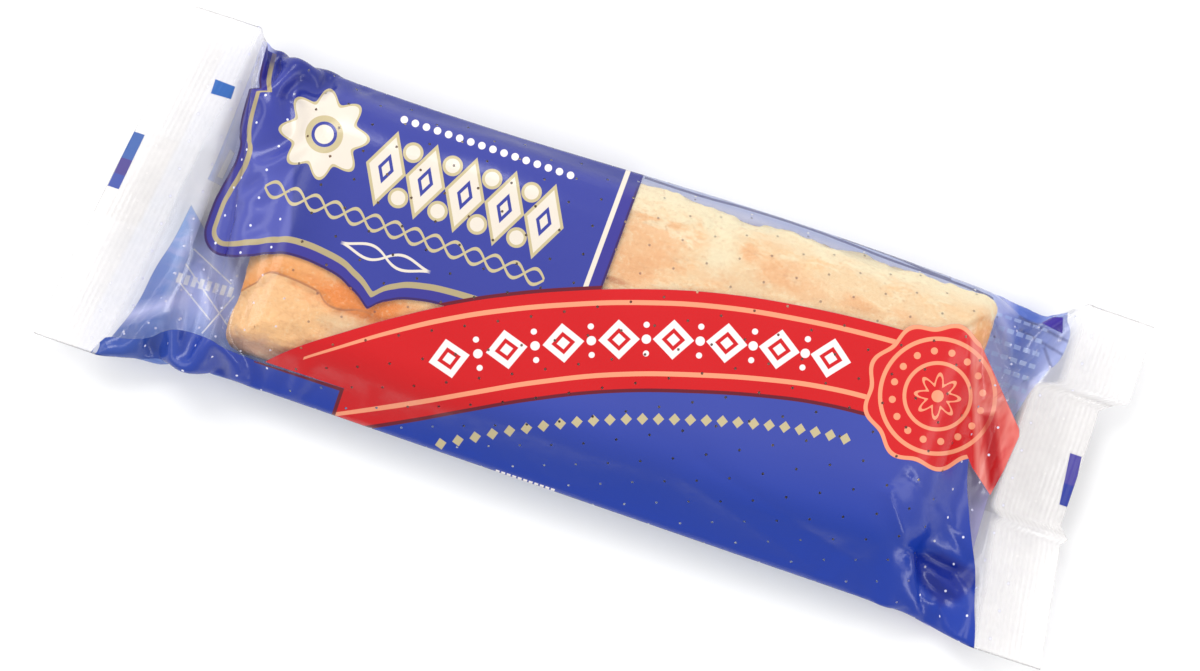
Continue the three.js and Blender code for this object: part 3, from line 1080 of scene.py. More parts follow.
def badge_motifs(x, y, colour):
    """A rosette, lozenges and studs in cream with a gold edge, over a colour."""
    core = length_of(x - ROSETTE["x"], y - ROSETTE["y"]) - ROSETTE_CORE["radius"]
    past_row = outside_row(x, TILES)
    tile = lozenge(along_row(x, TILES), y - TILES["y"], TILES["width"], TILES["height"])
    tile = most(tile, past_row + MOTIF_EDGE)
    stud_x = repeat(x - TILES["from"], row_pitch(TILES))
    stud_y = size_of(y - TILES["y"]) - TILES["height"] * STUDS["out"]
    stud = most(length_of(stud_x, stud_y) - STUDS["radius"], past_row + STUDS["inset"])
    motif = least(disc(x, y, ROSETTE), tile, stud)
    cuts = least(size_of(core + ROSETTE_CORE["cut"]), size_of(tile + TILE_LINE["in"]))
    return layered(
        colour,
        (GOLD, inside(motif - MOTIF_EDGE)),
        (CREAM, inside(motif)),
        (GOLD, line(core, 0.0, ROSETTE_CORE["ring"])),
        (BLUE, inside(cuts - TILE_LINE["width"] / 2)),
    )


def badge_rows(x, y, colour):
    """A row of white dots, a gold braid and a cream flourish, over a colour."""
    dots = length_of(along_row(x, DOTS), y - DOTS["y"]) - DOTS["size"]
    swing = sine(x * (2 * math.pi / BRAID["length"])) * BRAID["height"]
    braid = strands(y - BRAID["y"], swing, BRAID["width"])
    share = (x - FLOURISH["x"]) * (1 / FLOURISH["half"])
    swing = sine(share * math.pi) * (FLOURISH["swell"] - size_of(share)) * FLOURISH["height"]
    flourish = strands(y - FLOURISH["y"], swing, FLOURISH["width"])
    return layered(
        colour,
        (WHITE, in_row(dots, x, DOTS)),
        (GOLD, in_row(braid, x, BRAID)),
        (CREAM, inside(most(flourish, size_of(share) - 1.0))),
    )


def badge_print(x, y):
    """The badge's colour, with painted light and shade by the roll's end and painted shade along the far
    side, and where it is.
    """
    badge = badge_distance(x, y)
    right = x - (y - BADGE_RIGHT["at_y"]) * BADGE_RIGHT["lean"] - BADGE_RIGHT["x"]
    beside = inside(-CREAM_LINE["in"] - right)
    border = scaled(x, *LINE_TURN, BORDER["left"], BORDER["below"])
    half = scaled(x, *LINE_TURN, GOLD_LINE["left"], GOLD_LINE["below"]) * 0.5
    gold = inside(size_of(badge + border + half) - half)
    free = beyond(x, y, *ROLL_END)
    colour = layered(
        BLUE,
        # painted light where the film hangs free, painted shade where it lies on the roll
        (FREE_LIT_BLUE, scaled(free, *FREE_LIGHT["edge"]) * scaled(y, *FREE_LIGHT["y"]) * FREE_LIGHT["cover"]),
        (LYING_SHADE_BLUE, scaled(free, *LYING_SHADE["edge"]) * scaled(free, *LYING_SHADE["run"]) * LYING_SHADE["cover"]),
        (VIOLET, most(inside(-border - badge), beside)),
        (DULL_GOLD, least(gold, 1.0 - beside)),
        (EDGE_VIOLET, inside(-BADGE_RIM - most(badge, right))),
    )
    # painted shade along the far side
    colour = washed(colour, x, y, FAR_SHADE_WASH)
    colour = over(colour, CREAM, line(right, -CREAM_LINE["in"], CREAM_LINE["width"]))
    return badge_rows(x, y, badge_motifs(x, y, colour)), inside(most(badge, right))


def banner_slope(x):
    """The banner's slope, and how much longer its edges are than their stretch of x."""
    slope = (x - BANNER_CREST) * -BANNER_BEND
    return slope, calculate("SQRT", slope * slope + 1.0)


def banner_distances(x, y):
    """Distances from the banner's top and bottom edges, negative inside it."""
    cosine = calculate("DIVIDE", 1.0, banner_slope(x)[1])
    return (y - curve(x, BANNER_TOP)) * cosine, (curve(x, BANNER_BOTTOM) - y) * cosine


def along_banner(x, level, row, halfway=0.0):
    """The way along the banner from the nearest motif of a row, level above the row's middle.

    halfway is 0.5 for the places in between the motifs.
    """
    slope, stretch = banner_slope(x)
    foot = x + calculate("DIVIDE", slope * level, stretch)
    return along_row(foot - halfway * row_pitch(row), row) * stretch


def banner_motifs(x, middle):
    """Where the banner's lozenges are, and the beads in between them."""
    outer = lozenge(along_banner(x, middle, LOZENGES), middle, LOZENGES["width"], LOZENGES["height"])
    tiles = least(most(outer, -LOZENGES["line"] - outer), outer + LOZENGES["core"])
    between = along_banner(x, middle, LOZENGES, 0.5)
    beads = least(length_of(between, middle) - BEADS["radius"],
                  length_of(between, size_of(middle) - BEADS["out"]) - BEADS["small"])
    beads = most(beads, outside_row(x, LOZENGES) + BEADS["inset"])
    return most(in_row(tiles, x, LOZENGES), inside(beads))


def banner_print(x, y, from_top, from_bottom, colour, blue):
    """The red banner, its salmon lines and its row of white lozenges, over a colour.

    blue is where there is blue print under its edges.
    """
    beyond_step = -most(x - STEP[0], y - STEP[1])
    outline = most(from_top, from_bottom, beyond_step, BANNER_START - x, x - BANNER_END)
    half = scaled(x, BANNER_LINES["start"], BANNER_LINES["thin_to"], 0.25, 0.5) * BANNER_LINES["width"]
    lines = least(size_of(from_top + BANNER_LINES["top"]), size_of(from_bottom + BANNER_LINES["bottom"]))
    colour = layered(
        colour,
        (DARK_RED, inside(outline - BANNER_TRAP) * blue),
        (RED, inside(outline)),
        (SALMON, inside(most(lines - half, BANNER_LINES["start"] - x, outline))),
        (WHITE, banner_motifs(x, (from_top - from_bottom) * 0.5)),
    )
    return colour, inside(outline)


def seal_print(x, y, colour):
    """The round red seal, with salmon rings, dots and a rosette, a painted sheen and glint and painted
    shade, over a colour, and where it is.
    """
    edge = disc(x, y, SEAL)
    tail = polygon(x, y, SEAL_TAIL)
    outline = most(least(edge, tail), beyond(x, y, *SEAL_FOLD))
    from_x, from_y = x - SEAL["x"], y - SEAL["y"]
    radius = length_of(from_x, from_y)
    turn = repeat(calculate("ARCTAN2", from_y, from_x), 2 * math.pi / SEAL_DOTS["count"])
    dots = length_of(turn * SEAL_DOTS["radius"], radius - SEAL_DOTS["radius"]) - SEAL_DOTS["size"]
    rosette = size_of(disc(x, y, SEAL_ROSETTE)) - SEAL_ROSETTE["line"] / 2
    rings = (size_of(radius - ring) - width / 2 for ring, width in SEAL_RINGS)
    rim = most(size_of(edge + SEAL["line"] / 2) - SEAL["line"] / 2, -tail)
    marks = most(least(dots, rosette, radius - SEAL_ROSETTE["core"], *rings, rim), outline)
    # painted sheen right of the pack's corner, and a painted glint along it
    past = -beyond(x, y, *SEAL_CREASE)
    cloud = noise(x.tree, *SEAL_SHEEN_NOISE)
    sheen = scaled(past, *SEAL_SHEEN["edge"]) * scaled(cloud, *SEAL_SHEEN["cloud"])
    sheen = most(sheen, scaled(size_of(past), *SEAL_SHEEN["glint"]) * SEAL_SHEEN["cover"])
    shade = scaled(stroke(x, y, *SEAL_SHADE["way"], SEAL_SHADE["width"]), *SEAL_SHADE["edge"])
    colour = layered(
        colour,
        (SEAL_RED, inside(outline)),
        (SALMON, inside(marks)),
        (SHEEN_RED, sheen * (1.0 - shade) * inside(outline)),
        (SHADED_RED, shade * inside(outline) * SEAL_SHADE["cover"]),
    )
    return colour, inside(outline)


def field_print(x, y, from_bottom):
    """The plain blue along the near side with its painted shade, its small gold and white rows, and
    where it is.
    """
    level = -(from_bottom - UNDER_ROW["below"])
    gold = lozenge(along_banner(x, level, UNDER_ROW), level, UNDER_ROW["width"], UNDER_ROW["height"])
    dash = block(along_row(x, NEAR_DASHES), y - NEAR_DASHES["y"], *NEAR_DASHES["half"])
    colour = layered(
        washed(FIELD_BLUE, x, y, FIELD_WASHES),
        # painted shade in the dent
        (DENT_SHADE_BLUE, scaled(polygon(x, y, DENT), *DENT_EDGE) * DENT_SHADE_COVER),
        (GOLD, in_row(gold, x, UNDER_ROW)),
        (WHITE, in_row(dash, x, NEAR_DASHES)),
    )
    past_top = y - curve(x, FIELD_TOP, sharp=FIELD_CORNERS)
    return colour, inside(most(past_top, x - curve(y, FIELD_RIGHT)))


def front_print(x, y):
    """The front print's colour, and where there is print."""
    from_top, from_bottom = banner_distances(x, y)
    colour, field = field_print(x, y, from_bottom)
    badge_colour, badge = badge_print(x, y)
    colour = over(colour, badge_colour, badge)
    colour, banner = banner_print(x, y, from_top, from_bottom, colour, most(field, badge))
    colour, seal = seal_print(x, y, colour)
    patch, corner = inside(polygon(x, y, LEFT_PATCH)), inside(polygon(x, y, RIGHT_CORNER))
    colour = layered(colour, (PATCH_BLUE, patch), (CORNER_VIOLET, corner))
    return colour, most(field, badge, banner, seal, patch, corner)


# ---------------------------------------------------------------- the back print

BACK_BLUE = linear(150, 182, 240)
BACK_DEEP = linear(70, 104, 188)
BACK_MIDDLE = linear(62, 108, 206)
FOLD_SHADE_SLATE = linear(58, 70, 140)
BACK_LILAC = linear(200, 206, 252)
BACK_PALE = linear(206, 202, 255)
BACK_STRIP = linear(206, 214, 248)
BACK_DASHES = linear(186, 208, 252)
BACK_WHITE = linear(255, 255, 255)
BACK_LEFT = (
    (-40.0, -100.4), (-32.3, -96.7), (-24.4, -94.2), (-18.0, -93.3), (-9.6, -91.3), (-1.9, -90.2),
    (4.6, -88.6), (17.6, -87.6), (40.0, -86.6))
BACK_NOTCH = -1.9               # a sharp corner of the left outline
BACK_RIGHT = (
    (-40.0, 93.5), (-25.0, 92.2), (-10.0, 91.4), (8.0, 91.0), (14.0, 91.9), (22.4, 94.8),
    (30.0, 97.0), (34.0, 95.4), (40.0, 94.0))
BACK_TOP = 36.2                 # Y of the print's far edge, past the fold
BACK_GAP = [(-92.0, -0.3), (-84.0, -7.7), (-84.0, 3.7), (-92.0, 4.9)]
BACK_SLOT = [(-86.9, 5.6), (-85.6, 5.4), (-84.9, 11.4), (-86.0, 12.0)]
BACK_COVER = 0.86
PAINTED_FLOOR_LIGHT = {"cover": 0.8, "x": (-84.0, -86.0)}       # painted light: white laid over the clear back film at the left end, in its gap and its slot
CRUMPLE = (9, 3, 0.6, (1.6, 0.7, 1), 1.2)         # the noise of the painted light and shade on the crumpled back film
CRUMPLE_LIGHT = {"edge": (0.5, 0.62), "cover": 0.7}       # painted light, where that noise is high
CRUMPLE_SHADE = {"edge": (0.44, 0.34), "cover": 0.3}     # painted shade, where it is low
FAR_STRIP = (0, 1, 29.0, 32.0)  # slopes of washes: along the far side,
BEHIND_BADGE = (1, 0, 0.0, -3.0)
PAST_BADGE = (1, 0, -3.0, 0.0)  # right of the badge,
RIGHT_END = (1, 0, 77.0, 82.0)  # and at the right end
BACK_WASHES = (
    (BACK_DEEP, 0.6, (0.35, 1, -41.9, -56.9)),
    (BACK_LILAC, 0.8, (1, 0, -90.0, -85.0), (0, 1, -29.0, -22.0)),
    (BACK_DEEP, 0.7, (1, 0, -88.5, -91.0), (0, 1, -8.0, -16.0)),
    (BACK_STRIP, 0.85, FAR_STRIP, PAST_BADGE),
    (BLUE, 1.0, FAR_STRIP, BEHIND_BADGE, (1, 0, -90.0, -86.0)),
    (BACK_MIDDLE, 0.35, FAR_STRIP, PAST_BADGE, (0, 1, 33.2, 34.4)),
    (BACK_MIDDLE, 1.0, RIGHT_END, (1, 0, 95.0, 89.0, 0.3, 0.85)),
    (BACK_LILAC, 0.7, RIGHT_END, (1, 0.2, 91.5, 89.0)),
    (BACK_LILAC, 0.9, RIGHT_END, (0, 1, 21.0, 15.5)),
    (BACK_LILAC, 0.9, (1, 0, -83.0, -85.0), (0, 1, 18.0, 21.0)),
)
# A painted highlight along a crease that runs up from the near left corner.
BACK_CREASE_HIGHLIGHT = {"way": ((-99.0, -31.0), (-84.0, -20.5)), "width": 2.4, "edge": (1.2, -1.2)}
# Painted shade in the creases at the far right corner.
CORNER_CREASES = (
    ((85.4, 31.6), (97.2, 29.8)), ((86.3, 29.0), (96.8, 26.8)), ((92.5, 27.0), (95.5, 23.2)))
CORNER_CREASE_SHADE = {"width": 0.5, "edge": (0.3, -0.2), "cover": 0.7}
NEAR_CORNER = {"x": (78.0, 82.0), "y": (4.0, -2.0), "crumple": (0.3, 0.45)}   # pale, right end
BACK_STROKES = (
    ((-86.7, -10.7), (-76.7, -15.3)), ((-87.3, -14.3), (-74.7, -23.9)),
    ((-88.2, -17.9), (-78.6, -24.0)), ((-75.3, -17.5), (-79.3, -27.3)))
BACK_STROKE_WIDTH = 0.35
LEFT_DASHES = {"from": -88.4, "to": -75.5, "y": -17.6, "lean": 0.05, "count": 8, "half": (0.5, 1.1)}
FINE_ROWS = {                   # of fine dashes, each row set off from the last
    "pitch": 2.8, "half": (0.75, 0.5), "apart": 2.1, "shift": 3.0, "turn": 2.4,
    "x": (78.0, 92.0), "y": (10.0, 31.0),
}
FAR_LINES = (                   # painted shade: the dark edges of folds along the far side, as Y for an X
    ((0.0, 34.4), (10.0, 34.4), (23.0, 35.0), (35.0, 35.2), (45.0, 34.9), (58.0, 34.3),
     (68.0, 34.2), (79.0, 33.1)),
    ((44.0, 35.5), (55.0, 35.3), (63.0, 34.7), (69.0, 34.4)),
)
FAR_FOLD_SHADE = {"width": 0.5, "cover": 0.95}


def fine_dashes(x, y):
    """Distance from the rows of fine dashes at the right end."""
    number = calculate("FLOOR", y * (1 / FINE_ROWS["pitch"]) + 0.5)
    shifted = x + sine(number * FINE_ROWS["turn"]) * FINE_ROWS["shift"]
    level = repeat(y, FINE_ROWS["pitch"])
    dashes = block(repeat(shifted, FINE_ROWS["apart"]), level, *FINE_ROWS["half"])
    (left, right), (low, high) = FINE_ROWS["x"], FINE_ROWS["y"]
    return most(dashes, left - x, x - right, low - y, y - high)


def back_print(x, y):
    """The back print's colour as it shows from inside the pack, with painted light and shade on its
    crumples, creases and folds and painted light over its unprinted film, and how far it covers.
    """
    crumple = noise(x.tree, *CRUMPLE)
    crease_highlight = stroke(x, y, *BACK_CREASE_HIGHLIGHT["way"], BACK_CREASE_HIGHLIGHT["width"])
    pale = scaled(x, *NEAR_CORNER["x"]) * scaled(y, *NEAR_CORNER["y"])
    strokes = least(*(stroke(x, y, *ends, BACK_STROKE_WIDTH) for ends in BACK_STROKES))
    level = y - LEFT_DASHES["y"] - (x - LEFT_DASHES["from"]) * LEFT_DASHES["lean"]
    marks = block(along_row(x, LEFT_DASHES), level, *LEFT_DASHES["half"])
    colour = layered(
        BACK_BLUE,
        # painted light and shade on the crumpled film
        (BACK_LILAC, scaled(crumple, *CRUMPLE_LIGHT["edge"]) * CRUMPLE_LIGHT["cover"]),
        (BACK_DEEP, scaled(crumple, *CRUMPLE_SHADE["edge"]) * CRUMPLE_SHADE["cover"]),
    )
    colour = washed(colour, x, y, BACK_WASHES)
    # painted highlight along that crease
    colour = over(colour, BACK_LILAC, scaled(crease_highlight, *BACK_CREASE_HIGHLIGHT["edge"]))
    # painted shade in the corner's creases
    for ends in CORNER_CREASES:
        crease = scaled(stroke(x, y, *ends, CORNER_CREASE_SHADE["width"]), *CORNER_CREASE_SHADE["edge"])
        colour = over(colour, FOLD_SHADE_SLATE, crease * CORNER_CREASE_SHADE["cover"])
    colour = layered(
        colour,
        (BACK_PALE, pale * scaled(crumple, *NEAR_CORNER["crumple"])),
        (BACK_WHITE, most(inside(strokes), in_row(marks, x, LEFT_DASHES))),
        (BACK_DASHES, inside(fine_dashes(x, y))),
    )
    # painted shade along the edges of the far side's folds
    for points in FAR_LINES:
        past = most(points[0][0] - x, x - points[-1][0])
        edge = most(size_of(y - curve(x, points)) - FAR_FOLD_SHADE["width"] / 2, past)
        colour = over(colour, FOLD_SHADE_SLATE, inside(edge) * FAR_FOLD_SHADE["cover"])
    clear = least(polygon(x, y, BACK_GAP), polygon(x, y, BACK_SLOT))
    left = curve(y, BACK_LEFT, sharp=(BACK_NOTCH,)) - x
    panel = inside(most(left, x - curve(y, BACK_RIGHT), -clear, y - BACK_TOP))
    # painted light: white over the clear gap, the slot and the unprinted film at the left end
    floor_light = most(inside(clear), scaled(x, *PAINTED_FLOOR_LIGHT["x"]) * (1.0 - panel)) * PAINTED_FLOOR_LIGHT["cover"]
    return over(colour, BACK_WHITE, floor_light), most(panel * BACK_COVER, floor_light)


# ---------------------------------------------------------------- the film

CLEAR = (0.982, 0.982, 0.984, 1)
HAZE_WHITE = linear(240, 237, 236)
GLOSS = 0.04                    # the share of light that the film reflects, seen straight on
GLOSS_RISE = 5.0                # how sharply that grows towards a view from the side
FILM_ROUGHNESS = 0.17
CRINKLE = {                     # the film's noises, how much of each, and its depth
    "soft": (16, 2.0, 0.5, (1.6, 1, 1), 0.6), "fine": (3.2, 2.0, 0.55), "parts": (0.75, 0.25),
    "depth": 0.35,
}
HAZE = {"least": 0.012, "in_seal": 0.28, "ridges": 0.03, "cloud": 0.14}
HAZE_CLOUD = (9, 3.0, 0.6)      # the noise of its cloud
CLOUD_EDGE = (0.35, 0.7)
HAZE_EDGE = (SEAL_DEPTH + 0.5, SEAL_DEPTH - 1.5)       # depths where the seals' haze ends
CLOUDY = {"x": (-84.5, -87.0), "y": (-5.0, 1.0), "haze": 0.27}   # the film beside the left seal
HOLES = {"along": 12.8, "around": 6.2, "radius": 0.27, "on_clear": 0.5, "in_fin": 0.12}
HOLE_SHADE = linear(70, 52, 66)
HOLE_LIGHT = linear(225, 225, 245)
FREE_FROM = (82.0, 84.0)        # X past which the film hangs free at the right end
FLAP_HAZE = {"x": (80.0, 95.0), "haze": 0.04}    # of the seam flap in the right seal
FRONT_THROUGH = 0.08            # the share of the light from behind that shows through the print
BACK_THROUGH = 0.45
INK = {"Roughness": 0.22, "Specular_IOR_Level": 0.45}
MARK_ROUGHNESS = 0.3
MARKS = (                       # the printed register marks in the seals
    {"x": -106.4, "y": 2.7, "lean": 0.127, "half": (1.25, 6.4), "tones": (
        (linear(32, 78, 150), 9.5), (linear(52, 36, 122), 3.0), (linear(30, 58, 146), -0.6))},
    {"x": 106.9, "y": 1.8, "lean": -0.116, "half": (1.3, 5.6), "tones": (
        (linear(62, 54, 144), 9.5), (linear(24, 44, 142), 0.9))},
)


def vent_holes(tree):
    """Distance from the nearest of the film's vent holes, which lie in staggered rows."""
    along, around = layer_places(tree, "film")
    long_step, step = HOLES["along"], HOLES["around"]
    straight = length_of(repeat(along, long_step), repeat(around, step))
    shifted = length_of(repeat(along - long_step / 2, long_step), repeat(around - step / 2, step))
    return least(straight, shifted) - HOLES["radius"]


def film_relief(tree):
    """The fine crinkle of the film, as a surface direction."""
    soft, fine = noise(tree, *CRINKLE["soft"]), noise(tree, *CRINKLE["fine"])
    soft_part, fine_part = CRINKLE["parts"]
    return bumped(soft * soft_part + fine * fine_part, CRINKLE["depth"])


def film_haze(tree):
    """How cloudy the clear film is: most in the seals, along their crimped ridges."""
    depth, _ = layer_places(tree, "seal")
    x, y = layer_places(tree, "art")
    beside_seal = scaled(x, *CLOUDY["x"]) * scaled(y, *CLOUDY["y"]) * CLOUDY["haze"]
    in_seal = scaled(depth, *HAZE_EDGE)
    ridges = sine(depth * (2 * math.pi / CRIMP["pitch"])) * 0.5 + 0.5
    cloud = scaled(noise(tree, *HAZE_CLOUD), *CLOUD_EDGE)
    haze = ridges * HAZE["ridges"] + cloud * HAZE["cloud"] + HAZE["in_seal"]
    return most(in_seal * haze, beside_seal) + HAZE["least"]


def clear_surface(tree, haze, normal):
    """Film that light passes through: its haze scatters some of it, and its gloss reflects some."""
    facing = Value(new_node(tree, "LayerWeight", Blend=0.5), "Facing")
    reflected = calculate("POWER", facing, GLOSS_RISE) * (1 - GLOSS) + GLOSS
    passing = made(tree, "BsdfTransparent", Color=CLEAR)
    cloudy = made(tree, "BsdfDiffuse", Color=HAZE_WHITE, Normal=normal)
    gloss = made(tree, "BsdfGlossy", Color=(1, 1, 1, 1), Roughness=FILM_ROUGHNESS, Normal=normal)
    return made(tree, "MixShader", reflected, made(tree, "MixShader", haze, passing, cloudy), gloss)


def past_roll(x, y):
    """1 where the film hangs free past either end of the roll, so that its vent holes look pale."""
    return most(scaled(beyond(x, y, *ROLL_END), 0.0, 1.0), scaled(x, *FREE_FROM))


def printed_film(name, print_of, through):
    """Film with print on it: print_of gives a colour, and how far it covers, at the print's places.

    through is the share of the light on its far side that shows through the print.
    """
    material, tree = new_material(name)
    x, y = layer_places(tree, "art")
    colour, cover = print_of(x, y)
    normal = film_relief(tree)
    hole = inside(vent_holes(tree))
    pale = past_roll(x, y)
    colour = over(colour, over(HOLE_SHADE, HOLE_LIGHT, pale), hole)
    cover = cover * (1.0 - hole * (1.0 - pale)) + (1.0 - cover) * hole * HOLES["on_clear"]
    ink = made(tree, "BsdfPrincipled", Base_Color=colour, Normal=normal, **INK)
    ink = made(tree, "MixShader", through, ink, made(tree, "BsdfTranslucent", Color=colour))
    film = clear_surface(tree, film_haze(tree), normal)
    return finished(material, made(tree, "MixShader", cover, film, ink))


def fin_film():
    """The clear film of the seals, with its register marks."""
    material, tree = new_material("film_seals")
    x, y = layer_places(tree, "art")
    colour, cover = WHITE, x * 0.0
    for mark in MARKS:
        level = y - mark["y"]
        spot = inside(block(x - mark["x"] - level * mark["lean"], level, *mark["half"]))
        colour = layered(colour, *((tone, spot * inside(y - top)) for tone, top in mark["tones"]))
        cover = most(cover, spot)
    hole = inside(vent_holes(tree)) * HOLES["in_fin"]
    normal = film_relief(tree)
    colour = over(colour, HOLE_SHADE, hole)
    ink = made(tree, "BsdfPrincipled", Base_Color=colour, Roughness=MARK_ROUGHNESS, Normal=normal)
    film = clear_surface(tree, film_haze(tree), normal)
    return finished(material, made(tree, "MixShader", most(cover, hole), film, ink))


def flap_film():
    """The clear film of the seam flap."""
    material, tree = new_material("film_flap")
    x, _ = layer_places(tree, "art")
    haze = film_haze(tree) + scaled(x, *FLAP_HAZE["x"]) * FLAP_HAZE["haze"]
    return finished(material, clear_surface(tree, haze, film_relief(tree)))


# ---------------------------------------------------------------- the pastry's material

PASTRY_CREAM = linear(220, 189, 146)
PASTRY_BUFF = linear(232, 180, 122)
PASTRY_PALE = linear(222, 211, 176)
PASTRY_TAN = linear(218, 161, 108)
PASTRY_GOLD = linear(224, 142, 60)
PASTRY_ORANGE = linear(222, 122, 26)
PASTRY_BROWN = linear(180, 112, 66)
PASTRY_SHADE_GREY = linear(164, 122, 120)
PASTRY_NOISES = (               # broad, patches, fine and grain
    (22, 3, 0.55, (1.3, 1, 1), 0.4), (8, 4, 0.6, (1.6, 0.8, 1), 0.8),
    (3, 4, 0.65, (1.8, 0.8, 1), 0.5), (0.9, 4, 0.65),
)
LEFT_PART = (-20.0, -50.0)      # X where the roll turns browner to the left
LAP_BAND = 8.5                  # how far the browned band above the overlap fades out
# A brown line along the overlap's edge: partly the baked brown of the sheet's edge, partly painted shade
# under its lip.
LAP_SEAM_AND_SHADE = {"width": 0.5, "x": (-44.0, -50.0), "cover": 0.8}
BAND_EDGE = (-0.3, 0.1)         # from the overlap, Y where that band starts
UNEVEN = 8.0                    # how far the edges of the bands wander
UNDERSIDE = {"z": (7.0, 2.0), "cover": 0.8}
PASTRY_RELIEF = 0.6
PASTRY_ROUGHNESS = 0.62
FAR_BAND = (                    # Y of the inner edge of the pale band along the far side, for an X
    (-75.0, 26.5), (0.0, 27.5), (12.0, 27.5), (24.0, 29.0), (34.0, 30.5), (48.0, 29.5),
    (60.0, 30.0), (80.0, 31.5))
SPOTS = (                       # patches, most of them browned and one of them painted shade: X, Y, half lengths along X and Y, colour, cover
    (4.5, 20.0, 6.5, 4.5, PASTRY_TAN, 0.7),
    (3.0, 14.5, 5.5, 3.2, PASTRY_TAN, 0.9),
    (9.5, 18.5, 4.0, 3.0, PASTRY_TAN, 0.5),
    (20.9, 19.0, 3.2, 2.2, PASTRY_TAN, 0.5),
    (25.8, 26.0, 2.0, 1.5, PASTRY_TAN, 0.8),
    (33.3, 23.6, 4.6, 3.0, PASTRY_TAN, 0.8),
    (40.0, 22.0, 4.5, 2.6, PASTRY_TAN, 0.5),
    (51.0, 22.8, 4.2, 1.5, PASTRY_TAN, 0.8),
    (61.0, 23.2, 3.0, 1.5, PASTRY_TAN, 0.5),
    (79.0, 24.5, 2.6, 4.0, PASTRY_GOLD, 0.8),
    (1.0, 11.3, 3.0, 0.7, PASTRY_BROWN, 0.8),
    (20.0, 26.0, 3.5, 6.5, PASTRY_PALE, 0.7),
    (-50.0, -10.2, 9.5, 3.6, PASTRY_ORANGE, 0.95),
    (-45.5, -10.5, 4.0, 2.5, PASTRY_ORANGE, 0.7),
    # painted shade, greyish, on the roll's near left corner
    (-66.0, -27.5, 10.0, 3.4, PASTRY_SHADE_GREY, 0.6),
    (-50.0, -16.5, 5.0, 2.6, PASTRY_CREAM, 0.7),
)
SPOT_EDGE = 0.45                # how far a patch's edge fades, as a share of its size
SPOT_WANDER = (1.6, 1.2)        # and how far fine noise and patches shift it


def pastry_material():
    """Baked pastry: washes of colour where noises are high or low, browned bands and patches, with
    painted shade at the roll's near left corner and under the overlap's lip.
    """
    material, tree = new_material("pastry")
    split = new_node(tree, "SeparateXYZ", own_places(tree))
    x, y, z = (Value(split, axis) * (1 / MM) for axis in range(3))
    broad, patches, fine, grain = (noise(tree, *settings) for settings in PASTRY_NOISES)
    above_lap = y - curve(x, LAP)
    left = scaled(x, *LEFT_PART)
    far = y - curve(x, FAR_BAND) + (fine - 0.5) * UNEVEN
    band = scaled(above_lap + (patches - 0.5) * UNEVEN, LAP_BAND, 0.0) * scaled(above_lap, *BAND_EDGE)
    colour = layered(
        PASTRY_CREAM,
        (PASTRY_BUFF, most(scaled(patches, 0.46, 0.62) * 0.55, left)),
        (PASTRY_TAN, scaled(broad * 0.6 + patches * 0.4, 0.5, 0.66) * 0.6),
        (PASTRY_PALE, scaled(fine + patches, 1.02, 1.2) * (1.0 - left) * 0.6),
        (PASTRY_PALE, scaled(far, -1.5, 2.0) * 0.85),
        (PASTRY_GOLD, band * left),
    )
    wander = (fine - 0.5) * SPOT_WANDER[0] + (patches - 0.5) * SPOT_WANDER[1]
    for at_x, at_y, half_x, half_y, tone, cover in SPOTS:
        away = length_of((x - at_x) * (1 / half_x), (y - at_y) * (1 / half_y)) + wander
        colour = over(colour, tone, scaled(away, 1 + SPOT_EDGE, 1 - SPOT_EDGE) * cover)
    # baked brown and painted shade along the overlap's edge
    seam = line(above_lap, 0.0, LAP_SEAM_AND_SHADE["width"]) * scaled(x, *LAP_SEAM_AND_SHADE["x"])
    colour = layered(
        colour,
        (PASTRY_BROWN, scaled(grain, 0.5, 0.7) * scaled(patches, 0.35, 0.6, 0.1, 0.3)),
        (PASTRY_PALE, scaled(grain, 0.46, 0.3) * 0.35),
        (PASTRY_BROWN, seam * LAP_SEAM_AND_SHADE["cover"]),
        (PASTRY_BROWN, scaled(grain + fine, 1.18, 1.45) * 0.45),
        (PASTRY_BROWN, scaled(z, *UNDERSIDE["z"]) * UNDERSIDE["cover"]),
    )
    normal = bumped(grain * 0.3 + fine * 0.4 + patches * 0.3, PASTRY_RELIEF)
    crust = {"Roughness": PASTRY_ROUGHNESS, "Normal": normal}
    return finished(material, made(tree, "BsdfPrincipled", Base_Color=colour, **crust))


# ---------------------------------------------------------------- floor and lights

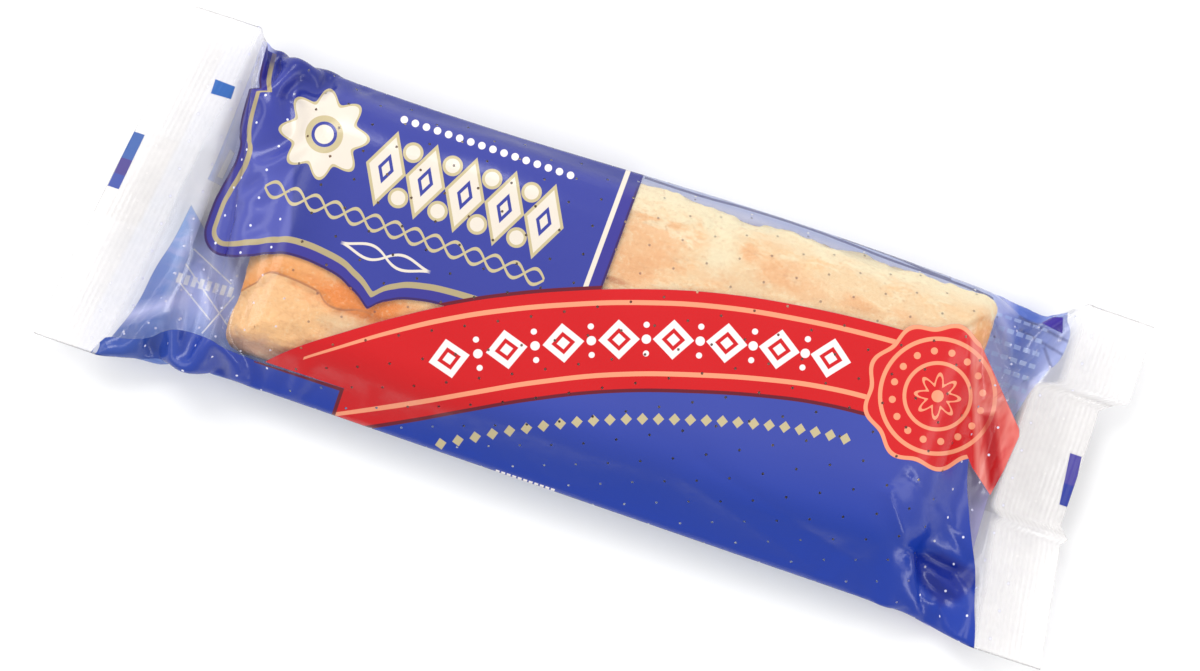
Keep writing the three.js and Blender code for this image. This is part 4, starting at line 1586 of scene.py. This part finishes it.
FLOOR_HALF = 3.0                # in metres, as are the lights' places
FLOOR_WHITE = (0.88, 0.88, 0.88, 1)
SKY = {"low": 0.65, "high": 0.98, "way": (-0.3, 0.95, 0.0)}
LIGHTS = (                      # their names, places, sizes and powers
    ("key", (-0.55, 0.75, 0.95), (0.9, 0.5), 8.5),
    ("edge", (0.75, -0.5, 0.55), (0.12, 0.9), 2.2),
    ("left_end", (-1.0, -0.1, 0.8), (0.9, 0.5), 3.0),
    ("right_end", (1.0, 0.2, 0.8), (0.9, 0.5), 2.6),
)


def add_floor():
    corners = [(x * FLOOR_HALF, y * FLOOR_HALF, 0) for x, y in ((-1, -1), (1, -1), (1, 1), (-1, 1))]
    mesh = bpy.data.meshes.new("floor")
    mesh.from_pydata(corners, [], [(0, 1, 2, 3)])
    material, tree = new_material("floor")
    mesh.materials.append(finished(material, made(tree, "BsdfDiffuse", Color=FLOOR_WHITE)))
    floor = bpy.data.objects.new("floor", mesh)
    bpy.context.scene.collection.objects.link(floor)


def add_light(name, place, size, power):
    """A rectangle of light that faces the pack."""
    data = bpy.data.lights.new(name, "AREA")
    data.shape = "RECTANGLE"
    data.size, data.size_y = size
    data.energy = power
    light = bpy.data.objects.new(name, data)
    light.location = place
    light.rotation_euler = (-Vector(place)).to_track_quat("-Z", "Y").to_euler()
    bpy.context.scene.collection.objects.link(light)


def add_world():
    """White light from all round, stronger from the far left than from the near right."""
    world = bpy.data.worlds.new("studio")
    world.use_nodes = True
    tree = world.node_tree
    where = Value(new_node(tree, "TexCoord"), "Generated")
    toward = new_node(tree, "VectorMath", where, SKY["way"], setting=("operation", "DOT_PRODUCT"))
    background = tree.nodes["Background"]
    connect(scaled(Value(toward, "Value"), -1.0, 1.0, SKY["low"], SKY["high"]),
            background.inputs["Strength"])
    background.inputs["Color"].default_value = (1, 1, 1, 1)
    bpy.context.scene.world = world
    bpy.context.scene.view_settings.view_transform = "Standard"


add_camera()
relaxed = relaxed_film()
front_film = printed_film("print_front", front_print, FRONT_THROUGH)
back_film = printed_film("print_back", back_print, BACK_THROUGH)
film = make_film(relaxed, [front_film, back_film, fin_film()])
make_flap(relaxed, flap_film())
make_pastry(pastry_material(), film)
add_floor()
add_world()
for light in LIGHTS:
    add_light(*light)
